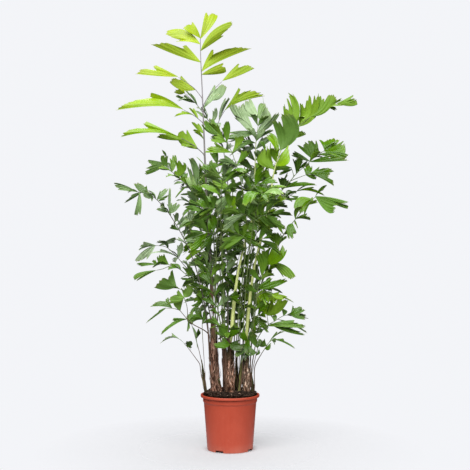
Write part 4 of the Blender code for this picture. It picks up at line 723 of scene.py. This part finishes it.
# %% [markdown]
# ## Stalks
# A frond's stalk and its ribs are round and taper evenly. In the frame they are square tubes.
# With the leaflets' plates taken off and the holes closed, a subdivision surface rounds those
# tubes without moving their centres. It would also draw a rib's tip back from its last leaflet,
# so the corners at a tip are creased, which holds them where they are. The pale canes are smooth
# and yellow-green, most stalks are olive, and the dusky ones turn grey with a mauve tinge near
# the crown. A stalk's foot is still wrapped in brown sheath, up to a painted height.

# %% Stalk materials
SHEATH_BROWN, SHEATH_DARK = (0.170, 0.090, 0.052), (0.020, 0.010, 0.006)
SHEATH_FADE = 12.0          # the brown fades out over a metre divided by this
CROWN_STALK_FROM = 1.08     # above this height a stalk takes on its crown colour


def stalk_material(name, shade, streak, dark, crown):
    material, wires = new_material(name)
    height = wires.height()
    sheathed = ((wires.painted("sheath_top") - height) * SHEATH_FADE).clamped()
    fibre = wires.use("grain", Width=0.0014, Length=0.060)
    clouds = wires.use("mottling", Size=0.045, Contrast=1.6)
    specks = wires.use("speckle", Size=0.0030, Amount=0.30)
    high_up = ((height - CROWN_STALK_FROM) * 4.0).clamped()
    streaky = wires.blend(high_up, wires.blend(fibre * 0.9, shade, streak), crown)
    cloudy = wires.blend(clouds * 0.45, streaky, dark)
    spotted = wires.blend(specks * 0.35, cloudy, dark)
    colour = wires.blend(sheathed, spotted, wires.blend(fibre, SHEATH_DARK, SHEATH_BROWN))
    wires.show(wires.skin(colour, clouds * 0.2 + 0.36, fibre, 0.3, 0.0005))
    return material


STALKS = {kind: stalk_material(kind, *colours) for kind, colours in {
    CANE: ((0.47, 0.54, 0.15), (0.70, 0.74, 0.34), (0.18, 0.24, 0.04), (0.10, 0.15, 0.04)),
    GREEN: ((0.085, 0.140, 0.030), (0.16, 0.20, 0.06), (0.030, 0.050, 0.018),
            (0.12, 0.17, 0.05)),
    DUSKY: ((0.075, 0.074, 0.045), (0.13, 0.120, 0.090), (0.028, 0.026, 0.022),
            (0.18, 0.162, 0.168)),
}.items()}
print("stalk materials:", ", ".join(STALKS))

# %% [markdown]
# The foot of a real stalk widens into a sheath that clasps its stem. In the frame the foot stops
# a few millimetres clear of the stem, so each stem's rings are read first, and a short leaf base
# is led from the foot down into the bark of the nearest stem. Two pale canes need none, because
# they rise out of the top of their stems.

# %% Read the stems' rings
def stem_rings(node):
    """Centre and radius of each level ring of a stem, from the bottom up."""
    bm = welded(node)
    levels = {}
    for vert in bm.verts:
        levels.setdefault(round(vert.co.z, 4), []).append(vert.co.copy())
    bm.free()
    rings = []
    for height in sorted(levels):
        ring = levels[height]
        centre = sum(ring, Vector()) / len(ring)
        rings.append((centre, sum((point - centre).length for point in ring) / len(ring)))
    return [ring for ring in rings if ring[1] > 0.002]


def stem_at(rings, height):
    for (low, below), (high, above) in zip(rings, rings[1:]):
        if height <= high.z or high is rings[-1][0]:
            share = (height - low.z) / (high.z - low.z)
            return low.lerp(high, share), below + (above - below) * min(1.0, share)


stems = {name: stem_rings(name) for name in sorted(set(nodes) - set(frond_names) - {"pot", "soil"})}
NO_STALKS = "root_left"     # a prop root carries no frond
print("read", len(stems), "stems and shoots")

# %% Clasp the stem with a stalk's foot
ON_TOP = ("frond_centre", "frond_top_right")
FOOT_DRAWN_IN = 0.55        # the foot's own size is left to this share, inside the leaf base
BASE_SIDES = 8
# fall below the stalk's foot, width against the foot's, distance from the stem's middle against
# the stem's radius; above the foot the leaf base follows the stalk
BASE_STEPS = ((-0.034, 0.40, 0.0), (-0.016, 0.62, 0.0), (0.003, 0.80, 1.25),
              (0.022, 0.84, 1.08), (0.040, 0.68, 0.98), (0.062, 0.30, 0.75))


def clasp(bm):
    """Add a tapering leaf base, from a stalk's foot down into the sheath of its stem."""
    foot = sorted(bm.verts, key=lambda vert: vert.co.z)[:4]
    above = {near for vert in foot for near in neighbours(vert)} - set(foot)
    start = middle(foot)
    upwards = (middle(above) - start).normalized()
    thick = sum((vert.co - start).length for vert in foot) / 4
    pinned = bm.verts.layers.float["crease_vert"]
    for vert in foot:
        vert[pinned] = 0.0
        vert.co = start.lerp(vert.co, FOOT_DRAWN_IN)

    def clearance(rings):
        centre, radius = stem_at(rings, start.z)
        beyond = max(0.0, start.z - rings[-1][0].z)
        return (start - centre).xy.length - radius + beyond

    rings = min((stems[name] for name in stems if name != NO_STALKS), key=clearance)
    tube = []
    for fall, width, reach in BASE_STEPS:
        if fall <= 0.0:
            point = start - upwards * fall
        else:
            centre, radius = stem_at(rings, start.z - fall)
            out = Vector((start.x - centre.x, start.y - centre.y, 0.0))
            out *= min(1.0, radius * reach / max(out.length, 1e-6))
            point = Vector((centre.x + out.x, centre.y + out.y, start.z - fall))
        tube += [bm.verts.new(point + outward(2 * math.pi * side / BASE_SIDES) * thick * width)
                 for side in range(BASE_SIDES)]
    made = [bm.faces.new([tube[index] for index in face])
            for face in tube_faces(len(BASE_STEPS), BASE_SIDES)]
    bmesh.ops.recalc_face_normals(bm, faces=made)


# %% Round a frond's ribs
# rounding draws a tube in, so its corners are first moved out, as a share of its width
SWELL = {CANE: 0.32, GREEN: 0.16, DUSKY: 0.16}
WIDEST_RIB = 0.020          # no corner is moved out as if its rib were wider
CANE_TAPER, CANE_THINNING = 0.30, 0.40      # a pale cane grows thinner over this height
SHEATH_REACH = {CANE: 0.005, GREEN: 0.20, DUSKY: 0.22}      # brown for this far above the foot


def round_ribs(frond, bm, leaflets):
    plates = sorted((vert for leaflet in leaflets for vert in leaflet["plate"]),
                    key=lambda vert: tuple(vert.co))
    bmesh.ops.delete(bm, geom=plates, context="VERTS")
    bmesh.ops.holes_fill(bm, edges=[edge for edge in bm.edges if edge.is_boundary], sides=0)
    pinned = bm.verts.layers.float.new("crease_vert")
    for vert in bm.verts:
        vert[pinned] = 1.0 if len(vert.link_edges) == 3 else 0.0
    bmesh.ops.join_triangles(bm, faces=bm.faces, angle_face_threshold=math.radians(40),
                             angle_shape_threshold=math.pi)
    kind = look_of(frond)[2]
    bm.normal_update()
    shortest = {vert: min(edge.calc_length() for edge in vert.link_edges) for vert in bm.verts}
    foot = min(vert.co.z for vert in bm.verts)
    for vert, length in shortest.items():
        climb = min(1.0, (vert.co.z - foot) / CANE_TAPER)
        swell = SWELL[kind] - (CANE_THINNING * climb if kind == CANE else 0.0)
        vert.co += vert.normal * min(length, WIDEST_RIB) * swell
    if frond not in ON_TOP:
        clasp(bm)
    mesh = bpy.data.meshes.new(frond + "_stalk")
    bm.to_mesh(mesh)
    mesh.materials.append(STALKS[kind])
    mesh.shade_smooth()
    piece = put(frond + "_stalk", mesh)
    paint(piece, "sheath_top", [foot + SHEATH_REACH[kind]] * len(mesh.vertices))
    rounding = piece.modifiers.new("rounding", "SUBSURF")
    rounding.levels = rounding.render_levels = 2 if kind == CANE else 1
    stand_for(piece, frond)


# %% Grow every frond
leaflet_count = 0
for frond in frond_names:
    ribs = welded(frond)
    leaflets = read_leaflets(ribs)
    grow_leaflets(frond, leaflets)
    round_ribs(frond, ribs, leaflets)
    ribs.free()
    leaflet_count += len(leaflets)
print("grew", leaflet_count, "leaflets on", len(frond_names), "fronds")

# %% [markdown]
# ## Stems
# The stems are wrapped in the dead sheaths of old fronds: brown, stringy, split along their
# length, with loose ends that curl away. The frame has each stem as a smooth tapering tube. A
# finer tube is built along the rings that were read from it. It stands a few millimetres proud,
# so that the leaf bases of the fronds beside it run into the bark.

# %% Bark and fibre materials
LIVING_FROM = 0.74          # above this share of its height a stem is green
LIVING_DARK, LIVING_PALE = (0.030, 0.032, 0.012), (0.150, 0.160, 0.060)


def bark_material(name, deep, body, ridge, streak, cracked):
    material, wires = new_material(name)
    fibre = wires.use("grain", Width=0.0026, Length=0.050)
    thread = wires.use("grain", Width=0.0008, Length=0.030)
    clouds = wires.use("mottling", Size=0.018, Contrast=2.4)
    crack = wires.use("cracks", Width=0.0085, Length=0.030, Warp=0.010)
    lifted = wires.painted("lift")
    # the ramp follows the painted lift: on the sheath, proud strings take the ridge colour and
    # hollows the deep one, partly the fibres' own colours and partly painted highlight and painted
    # shade
    shade = wires.ramp(fibre + (lifted - 0.8) * 0.5, (0.34, deep), (0.47, body), (0.62, ridge))
    warm = wires.blend((clouds * thread * 1.3).clamped(), shade, streak)
    split = wires.blend(crack * cracked, warm, deep)
    # painted shade: where the lift is low, in the sheath's hollows and behind its seam, the colour
    # darkens to deep; on a loose strand the lift is the strand's own tone
    shaded = wires.blend(((1.0 - lifted).clamped() * 1.25).clamped(), split, deep)
    living = ((wires.painted("high") - LIVING_FROM) * 2.4).clamped()
    colour = wires.blend(living, shaded, wires.blend(fibre, LIVING_DARK, LIVING_PALE))
    wires.show(wires.skin(colour, thread * 0.25 + 0.62, fibre + thread * 0.5 - crack * 0.8,
                          0.8, 0.0015, 0.12))
    return material


GREY_BROWN = bark_material("grey-brown sheath", (0.014, 0.005, 0.002), (0.215, 0.108, 0.070),
                           (0.500, 0.320, 0.240), (0.400, 0.190, 0.125), 0.40)
RUSTY = bark_material("rusty fibre", (0.011, 0.004, 0.001), (0.260, 0.112, 0.062),
                      (0.840, 0.570, 0.430), (0.620, 0.270, 0.150), 0.90)
TAN = bark_material("tan fibre", (0.014, 0.005, 0.002), (0.400, 0.200, 0.110),
                    (0.980, 0.770, 0.590), (0.700, 0.360, 0.210), 0.90)
OLIVE = bark_material("olive shoot", (0.018, 0.018, 0.008), (0.085, 0.090, 0.030),
                      (0.180, 0.180, 0.070), (0.120, 0.080, 0.040), 0.30)
PALE_SHOOT = bark_material("pale shoot", (0.040, 0.042, 0.014), (0.230, 0.240, 0.050),
                           (0.400, 0.400, 0.130), (0.200, 0.150, 0.070), 0.30)
print("made five sheath materials")

# %% Wrap a stem in its sheath
SHEATH_SIDES = 48
SHEATH_ROW = 0.0030         # height of one row of its faces
SHEATH_SINK = 0.022         # how far it runs down into the soil
SEAM_TURNS = 11             # how often the sheath's seam winds round in a metre of height


def dress(node, ending, corners, faces, material, sharp, lift, high_up):
    piece = new_piece(node + ending, corners, faces, [material], sharp)
    paint(piece, "lift", lift)
    paint(piece, "high", high_up)
    stand_for(piece, node)


def wrap(node, material, cover, over_top, tip, seed):
    """A stringy tube round a stem, which ends in a torn tip."""
    rings, sides = stems[node], SHEATH_SIDES
    low, high = soil_high.z - SHEATH_SINK, rings[-1][0].z
    rise = high + over_top - low
    count = max(12, round(rise / SHEATH_ROW))
    corners, lift, high_up = [], [], []
    for row in range(count + 1):
        height = low + rise * row / count
        centre, radius = stem_at(rings, height)
        closing = unit((height - high + over_top) / (2 * over_top))
        worn = cover * (1.10 - 0.55 * row / count)
        for side in range(sides):
            angle = 2 * math.pi * side / sides
            around, lean = outward(angle), outward(angle + height * 5)
            coarse = noise.noise(Vector((around.x * 1.6, around.y * 1.6, height * 12 + seed)))
            string = noise.noise(Vector((lean.x * 5, lean.y * 5, height * 20 + seed)))
            thread = noise.noise(Vector((lean.x * 15, lean.y * 15, height * 24 + seed)))
            turn = (height * SEAM_TURNS + angle / (2 * math.pi) + seed * 0.37) % 1.0
            proud = worn * (0.70 + 0.9 * coarse + 0.62 * string) + thread * 0.0009
            proud += (1 - turn) ** 2 * worn * 0.55
            size = (radius + proud) * (1 - (1 - tip) * closing ** 1.5)
            corners.append(centre + around * max(size, 0.0008)
                           + Vector((0, 0, string * 0.010 * closing)))
            # the painted lift follows how proud the sheath stands, for painted shade in its hollows
            # and painted highlight on its strings
            lift.append(unit(0.62 + string * 1.2 + thread * 0.6 + (0.3 - turn) * 0.4))
            high_up.append(row / count + coarse * 0.12)
    dress(node, "_sheath", corners, tube_faces(count + 1, sides), material, 60.0, lift, high_up)


# %% [markdown]
# Loose fibres are what makes such a stem look old. They follow the stem upwards and drift round
# it. Most are thin strands, but on the three thick stems every second one is a wide strip of torn
# sheath, which peels off and curls at its end.

# %% Loose fibres
THICK_COVER = 0.0019        # a stem with more cover than this has wide strips too
STRAND_STEPS = 8


def strand_path(rings, rng, cover, low, high, wide):
    start = rng.uniform(low, high)
    length = rng.uniform(0.030, 0.090)
    angle = rng.uniform(0, 2 * math.pi)
    drift = rng.uniform(-1.0, 1.0) * (1.3 if wide else 1.0)
    peel = rng.uniform(0.001, 0.006) * (1.8 if wide else 1.0)
    wave = rng.uniform(0, 6.28)
    path = []
    for step in range(STRAND_STEPS + 1):
        share = step / STRAND_STEPS
        centre, radius = stem_at(rings, min(start + length * share, high + 0.012))
        turn = angle + drift * share + (0.30 if wide else 0.16) * math.sin(wave + share * 7)
        away = radius + cover * 1.1 + peel * share ** 3 + 0.0006 * math.sin(wave + share * 9)
        path.append(centre + outward(turn) * away)
    return path


def strands(node, material, cover, count, seed):
    rng, rings = random.Random(seed), stems[node]
    low, high = soil_high.z - 0.008, rings[-1][0].z - 0.02
    corners, faces, lift, high_up = [], [], [], []
    for number in range(count):
        wide = number % 2 == 0 and cover > THICK_COVER
        path = strand_path(rings, rng, cover, low, high, wide)
        width = rng.uniform(0.0018, 0.0036) if wide else rng.uniform(0.0005, 0.0013)
        tone = rng.uniform(0.85, 1.3) if wide else rng.uniform(0.3, 0.9)
        faces += tube_faces(len(path), 4, len(corners))
        for index, point in enumerate(path):
            share = index / STRAND_STEPS
            size = width * (1 - 0.75 * share) * (0.5 + min(1.0, share * 4) * 0.5)
            centre, _ = stem_at(rings, point.z)
            out = Vector((point.x - centre.x, point.y - centre.y, 0)).normalized()
            side = Vector((-out.y, out.x, 0)) * size
            deep = out * min(size * 0.45, 0.0009)
            corners += [point + side, point + deep, point - side, point - deep]
            lift += [tone] * 4
            high_up += [(point.z - low) / (high - low)] * 4
    dress(node, "_fibres", corners, faces, material, 80.0, lift, high_up)


# %% Dress all the stems
# material, cover, reach over the top, width left at the tip, number of loose strands
STEM_LOOK = {
    "stem_left": (GREY_BROWN, 0.0022, 0.030, 0.35, 130),
    "stem_middle": (RUSTY, 0.0022, 0.026, 0.40, 150),
    "stem_right": (TAN, 0.0020, 0.022, 0.45, 150),
    "stem_back": (GREY_BROWN, 0.0018, 0.030, 0.30, 30),
    "stem_back_right": (OLIVE, 0.0016, 0.028, 0.25, 24),
    "root_left": (RUSTY, 0.0010, 0.004, 0.60, 14),
    "cane_right": (PALE_SHOOT, 0.0006, 0.012, 0.40, 12),
    "shoot_left": (OLIVE, 0.0012, 0.030, 0.15, 22),
    "shoot_right": (OLIVE, 0.0012, 0.030, 0.15, 22),
}
for index, (node, (material, cover, over_top, tip, loose)) in enumerate(STEM_LOOK.items()):
    wrap(node, material, cover, over_top, tip, index * 3.7)
    strands(node, material, cover, loose, 40 + index)
    print(node, "rises to", round(stems[node][-1][0].z, 3), "with", loose, "loose strands")

# %% [markdown]
# ## Soil
# The root ball's top is a low mound of dark peat with bits of bark in it. The mound is a
# round grid, pushed up and down by noise, and painted darker in its low places as painted shade.
# The bits are small faceted lumps, each turned and flattened at random, most of them nearly
# black and a few pale.

# %% Soil materials
def crumb_material(name, deep, pale):
    material, wires = new_material(name)
    crumbs = wires.use("mottling", Size=0.0035, Contrast=2.4)
    grit = wires.use("speckle", Size=0.0022, Amount=0.12)
    # the painted tone is a bit's own paleness, and on the mound it also holds the painted shade of
    # its hollows
    tone = (wires.painted("tone") * (crumbs + 0.4)).clamped()
    colour = wires.blend(grit * 0.5, wires.blend(tone, deep, pale), (0.16, 0.11, 0.07))
    wires.show(wires.skin(colour, 0.9, crumbs, 0.9, 0.0012, 0.06))
    return material


peat = crumb_material("peat", (0.003, 0.0012, 0.0006), (0.024, 0.009, 0.004))
bark_bits = crumb_material("bark bits", (0.004, 0.002, 0.001), (0.360, 0.240, 0.180))
print("made", peat.name, "and", bark_bits.name)

# %% The mound
SOIL_SIDES, SOIL_RINGS = 110, 32
SOIL_BELOW_RIM = 0.0010
SOIL_RISE = 0.0035          # how far the crumbs stand above the frame's plain mound
HEAP_HEIGHT = 0.0065
CRUMB_HEIGHT = 0.0034
SKIRT = 0.012               # how far the mound's edge is led down inside the pot


def mound_height(radius):
    share = radius / soil_radius
    crown = soil_high.z + SOIL_RISE
    return crown + (pot_height - SOIL_BELOW_RIM - crown) * share ** 7


def heap(x, y):
    return noise.noise(Vector((x * 28, y * 28, 4.5))) * HEAP_HEIGHT


corners, tone = [], []
for ring in range(1, SOIL_RINGS + 1):
    radius = soil_radius * ring / SOIL_RINGS
    for side in range(SOIL_SIDES):
        angle = 2 * math.pi * side / SOIL_SIDES
        x, y = math.cos(angle) * radius, math.sin(angle) * radius
        rough = noise.fractal(Vector((x * 90, y * 90, 0.5)), 0.9, 2.1, 4)
        edge = 1.0 if ring < SOIL_RINGS - 1 else 0.2
        bumpy = (rough * CRUMB_HEIGHT + heap(x, y)) * edge
        corners.append(pot_axis + Vector((x, y, mound_height(radius) + bumpy)))
        # painted shade: the tone follows the crumbs' height, so their hollows are darker and their
        # tops paler
        tone.append(unit(0.35 + rough * 0.5))
corners += [Vector((point.x, point.y, point.z - SKIRT)) for point in corners[-SOIL_SIDES:]]
crown, foot = len(corners), len(corners) + 1
corners += [pot_axis + Vector((0, 0, mound_height(0))),
            pot_axis + Vector((0, 0, corners[-1].z))]
tone += [0.0] * SOIL_SIDES + [0.4, 0.0]
faces = [(a, d, c, b) for a, b, c, d in ring_quads(SOIL_RINGS + 1, SOIL_SIDES)]
for side in range(SOIL_SIDES):
    after = (side + 1) % SOIL_SIDES
    faces.append((crown, side, after))
    faces.append((foot, SOIL_RINGS * SOIL_SIDES + after, SOIL_RINGS * SOIL_SIDES + side))
mound = new_piece("soil_mound", corners, faces, [peat], 70.0)
paint(mound, "tone", tone)
stand_for(mound, "soil")
print("the mound has", len(faces), "faces")

# %% Bits of bark on the mound
BITS = 1300
BIT_SIZES = (0.0016, 0.0026, 0.0038, 0.0058)
LARGEST_PALE_BIT = 0.0034
PALE_SHARE = 0.27

rng = random.Random(11)
corners, faces, tone = [], [], []
lump = bmesh.new()
bmesh.ops.create_icosphere(lump, subdivisions=1, radius=1.0)
lump_corners = [vert.co.copy() for vert in lump.verts]
lump_faces = [tuple(vert.index for vert in face.verts) for face in lump.faces]
lump.free()
placed = 0
while placed < BITS:
    reach = (soil_radius - 0.003) * math.sqrt(rng.random())
    angle = rng.uniform(0, 2 * math.pi)
    x, y = math.cos(angle) * reach, math.sin(angle) * reach
    spot = pot_axis + Vector((x, y, mound_height(reach) + heap(x, y)))
    if any((spot - rings[0][0]).xy.length < rings[0][1] for rings in stems.values()):
        continue
    size = rng.choice(BIT_SIZES) * rng.uniform(0.7, 1.3)
    shape = Vector((size * rng.uniform(0.9, 2.0), size, size * rng.uniform(0.4, 0.8)))
    turn = (Matrix.Rotation(rng.uniform(0, 6.28), 3, "Z")
            @ Matrix.Rotation(rng.uniform(-0.6, 0.6), 3, "X"))
    first = len(corners)
    for corner in lump_corners:
        jag = rng.uniform(0.72, 1.25)
        corners.append(spot + turn @ Vector([a * b * jag for a, b in zip(corner, shape)])
                       + Vector((0, 0, size * 0.25)))
    faces += [tuple(index + first for index in face) for face in lump_faces]
    pale_bit = size < LARGEST_PALE_BIT and rng.random() < PALE_SHARE
    tone += [rng.uniform(0.4, 1.0) if pale_bit else rng.uniform(0.0, 0.12)] * len(lump_corners)
    placed += 1
bits = new_piece("soil_bark_bits", corners, faces, [bark_bits], 20.0)
paint(bits, "tone", tone)
stand_for(bits, "soil")
print("strewed", placed, "bits of bark")

# %% [markdown]
# ## The pot
# A nursery pot is moulded from thin plastic in one piece: a rolled lip, a straight band, a
# shallow step and a tapering wall on a foot ring with drainage gaps. It is a turned shape, so
# its outline is drawn once, with every corner rounded to a real radius, and spun round the axis.
# The foot's gaps and the holes in its floor are then cut out.

# %% Pot plastic
pot_plastic, wires = new_material("terracotta plastic")
clouds = wires.use("mottling", Size=0.060, Contrast=1.3)
flow = wires.use("grain", Width=0.012, Length=0.110)
pores = wires.use("mottling", Size=0.0011, Contrast=1.2)
dust = wires.use("speckle", Size=0.0035, Amount=0.10)
body = wires.blend(clouds, (0.322, 0.041, 0.019), (0.382, 0.054, 0.026))
streaked = wires.blend(flow * 0.30, body, (0.47, 0.092, 0.050))
low_down = (1.0 - wires.height() * 28.0).clamped()
dulled = wires.blend(low_down * clouds * 0.35, streaked, (0.50, 0.27, 0.20))
flecked = wires.blend(dust * 0.04, dulled, (0.75, 0.45, 0.35))
wires.show(wires.skin(flecked, clouds * 0.14 + 0.36, pores, 0.25, 0.0003, 0.35))
print("made", pot_plastic.name)

# %% The pot's outline
LIP, BAND, FOOT = 0.0102, 0.0198, 0.0095      # heights of the lip, the band and the foot ring
WALL, FOOT_WALL = 0.0022, 0.0030              # thickness of the wall and the foot ring
band_radius = rim_radius - 0.0092
wall_radius = band_radius - 0.0040
foot_radius = rim_radius * 0.771
lip_under = pot_height - LIP
step_height = lip_under - BAND
step_under = step_height - 0.0035
pot_top = pot_height - 0.0002

# radius, height and rounding of each corner, from the underside's middle up and back inside
outline = [
    (0.0, FOOT, 0.0), (foot_radius - FOOT_WALL, FOOT, 0.0006),
    (foot_radius - FOOT_WALL, 0.0, 0.0004), (foot_radius, 0.0, 0.0008),
    *((foot_radius + (wall_radius - foot_radius) * height / step_under, height, 0.0)
      for height in (0.0120, 0.0600, 0.1200)),
    (wall_radius, step_under, 0.0020), (band_radius - 0.0007, step_height + 0.0010, 0.0020),
    (band_radius, lip_under, 0.0012), (rim_radius - 0.0004, lip_under, 0.0018),
    (rim_radius, pot_top, 0.0032), (band_radius + 0.0012, pot_top, 0.0030),
    (band_radius - 0.0016, lip_under + 0.0040, 0.0030),
    (band_radius - WALL - 0.0003, step_height + 0.0015, 0.0020),
    (wall_radius - WALL, step_under, 0.0020),
    (foot_radius - 0.0013, FOOT + WALL, 0.0020), (0.0, FOOT + WALL, 0.0),
]


def rounded(profile, steps=5):
    """The profile with each corner replaced by a short curve."""
    points = [Vector(entry[:2]) for entry in profile]
    smooth = [points[0]]
    for index in range(1, len(points) - 1):
        here, radius = points[index], profile[index][2]
        if radius == 0.0:
            smooth.append(here)
            continue
        before, after = points[index - 1] - here, points[index + 1] - here
        reach = min(radius, before.length * 0.45, after.length * 0.45)
        first, last = here + before.normalized() * reach, here + after.normalized() * reach
        for step in range(steps + 1):
            t = step / steps
            smooth.append(first * (1 - t) ** 2 + here * 2 * t * (1 - t) + last * t * t)
    return smooth + [points[-1]]


profile = rounded(outline)
print("the outline has", len(profile), "points")

# %% Spin the outline
POT_SIDES = 144

corners = []
for radius, height in profile[1:-1]:
    for side in range(POT_SIDES):
        angle = 2 * math.pi * side / POT_SIDES
        corners.append(pot_axis + Vector((math.cos(angle) * radius,
                                          math.sin(angle) * radius, height)))
faces = ring_quads(len(profile) - 2, POT_SIDES)
under, inside = len(corners), len(corners) + 1
corners += [pot_axis + Vector((0, 0, FOOT)), pot_axis + Vector((0, 0, FOOT + WALL))]
last_row = (len(profile) - 3) * POT_SIDES
for side in range(POT_SIDES):
    after = (side + 1) % POT_SIDES
    faces.append((under, after, side))
    faces.append((inside, last_row + side, last_row + after))
pot = new_piece("nursery_pot", corners, faces, [pot_plastic], 50.0)
print("the spun pot has", len(faces), "faces")

# %% Cut the foot's gaps and the drainage holes
FIRST_GAP = -28             # degrees from the front
GAP_SIZE = (0.034, 0.020, 0.015)    # its width, its depth and twice its height
HOLE_CIRCLE, HOLE_RADIUS, HOLE_SIDES = 0.068, 0.006, 24


def from_front(angle, radius, height):
    return Matrix.Translation(pot_axis + Vector((radius * math.sin(angle),
                                                 -radius * math.cos(angle), height)))


cutter = bmesh.new()
for quarter in range(4):
    angle = math.radians(FIRST_GAP + 90 * quarter)
    bmesh.ops.create_cube(cutter, size=1.0, matrix=(
        from_front(angle, foot_radius, 0.0) @ Matrix.Rotation(angle, 4, "Z")
        @ Matrix.Diagonal((*GAP_SIZE, 1.0))))
for index in range(8):
    angle = math.radians(FIRST_GAP + 45 * (index + 0.5))
    bmesh.ops.create_cone(cutter, cap_ends=True, segments=HOLE_SIDES, radius1=HOLE_RADIUS,
                          radius2=HOLE_RADIUS, depth=0.02,
                          matrix=from_front(angle, HOLE_CIRCLE, FOOT))
cutter_mesh = bpy.data.meshes.new("foot gaps")
cutter.to_mesh(cutter_mesh)
cutter.free()
gaps = put("foot_gaps", cutter_mesh)
cut = pot.modifiers.new("gaps", "BOOLEAN")
cut.operation, cut.solver, cut.object = "DIFFERENCE", "EXACT", gaps
finished = bpy.data.meshes.new_from_object(pot.evaluated_get(
    bpy.context.evaluated_depsgraph_get()))
pot.modifiers.clear()
pot.data = finished
bpy.data.objects.remove(gaps)
stand_for(pot, "pot")
print("the pot has", len(pot.data.polygons), "faces")

# %% [markdown]
# ## Floor, light and camera
# The plant stands on a plain pale floor that fades into a pale surround, so no horizon shows.
# The floor darkens a little with distance, to meet the surround at its own brightness, and the
# camera sees the surround a little through it beside the pot, which keeps the shadow as soft as
# in a bright studio. The light is a wide soft key from the upper left in front, a weaker fill
# from the right in front, and a weak light from above and behind. The camera stands level with
# the plant's middle, four metres away, as for a portrait.

# %% Floor
FLOOR_RADIUS, FLOOR_DROP = 3.2, 0.0004
FADE_FROM, FADE_RATE = 0.20, 1.7
VEIL = 0.40                 # how much of the surround the camera sees through the floor

floor_paint, wires = new_material("pale floor")
distance = wires.add("ShaderNodeVectorMath", {0: wires.place()}, "Value", operation="LENGTH")
fade = (1.0 - (distance - FADE_FROM) * FADE_RATE).clamped()
tint = wires.use("mottling", Size=0.9, Contrast=1.0)
near = wires.blend(tint, (0.446, 0.445, 0.456), (0.461, 0.460, 0.471))
shade = wires.blend(fade, (0.405, 0.408, 0.421), near)
seen = wires.add("ShaderNodeLightPath", out="Is Camera Ray")
beside = ((distance - foot_radius) * 40.0).clamped()
wires.show(wires.mix_shader(fade * (1.0 - seen * beside * VEIL),
                            wires.add("ShaderNodeBsdfTransparent"),
                            wires.add("ShaderNodeBsdfDiffuse", {"Color": shade})))
disc = bmesh.new()
bmesh.ops.create_circle(disc, cap_ends=True, segments=96, radius=FLOOR_RADIUS)
floor_mesh = bpy.data.meshes.new("floor")
disc.to_mesh(floor_mesh)
disc.free()
floor_mesh.materials.append(floor_paint)
floor = put("floor", floor_mesh)
floor.location = (pot_axis.x, pot_axis.y, -FLOOR_DROP)
print("laid a floor", 2 * FLOOR_RADIUS, "m across")

# %% Light
AIM = Vector((0, 0, 0.85))  # every lamp points at the plant's middle

world = bpy.data.worlds.new("studio")
world.use_nodes = True
world.node_tree.nodes.clear()
wires = Wiring(world.node_tree)
surround = wires.add("ShaderNodeBackground", {0: solid((0.900, 0.910, 0.940)), 1: 1.0})
bounce = wires.add("ShaderNodeBackground", {0: solid((1.000, 1.000, 1.000)), 1: 0.045})
seen = wires.add("ShaderNodeLightPath", out="Is Camera Ray")
wires.node("ShaderNodeOutputWorld", {"Surface": wires.mix_shader(seen, bounce, surround)})
bpy.context.scene.world = world


def softbox(name, place, size, power):
    lamp = bpy.data.lights.new(name, "AREA")
    lamp.shape, lamp.size, lamp.energy = "DISK", size, power
    box = put(name, lamp)
    box.location = place
    box.rotation_euler = (AIM - Vector(place)).to_track_quat("-Z", "Y").to_euler()


softbox("key", (-1.2, -2.8, 3.3), 4.2, 335)
softbox("fill", (2.4, -2.5, 2.0), 2.6, 100)
softbox("top", (0.2, 0.8, 3.6), 2.6, 105)
bpy.context.scene.view_settings.view_transform = "Standard"
print("hung three lamps")

# %% Camera
CAMERA_DISTANCE = 4.1
CAMERA_HEIGHT = 0.87
VIEW_WIDTH = 1.913          # metres across the view where the plant stands
SENSOR = 36.0

lens = bpy.data.cameras.new("camera")
lens.sensor_width = SENSOR
lens.lens = SENSOR * CAMERA_DISTANCE / VIEW_WIDTH
camera = put("camera", lens)
camera.location = (pot_axis.x + 0.02, pot_axis.y - CAMERA_DISTANCE, CAMERA_HEIGHT)
camera.rotation_euler = (math.radians(90), 0, 0)
bpy.context.scene.camera = camera
print("lens", round(lens.lens, 1), "mm")
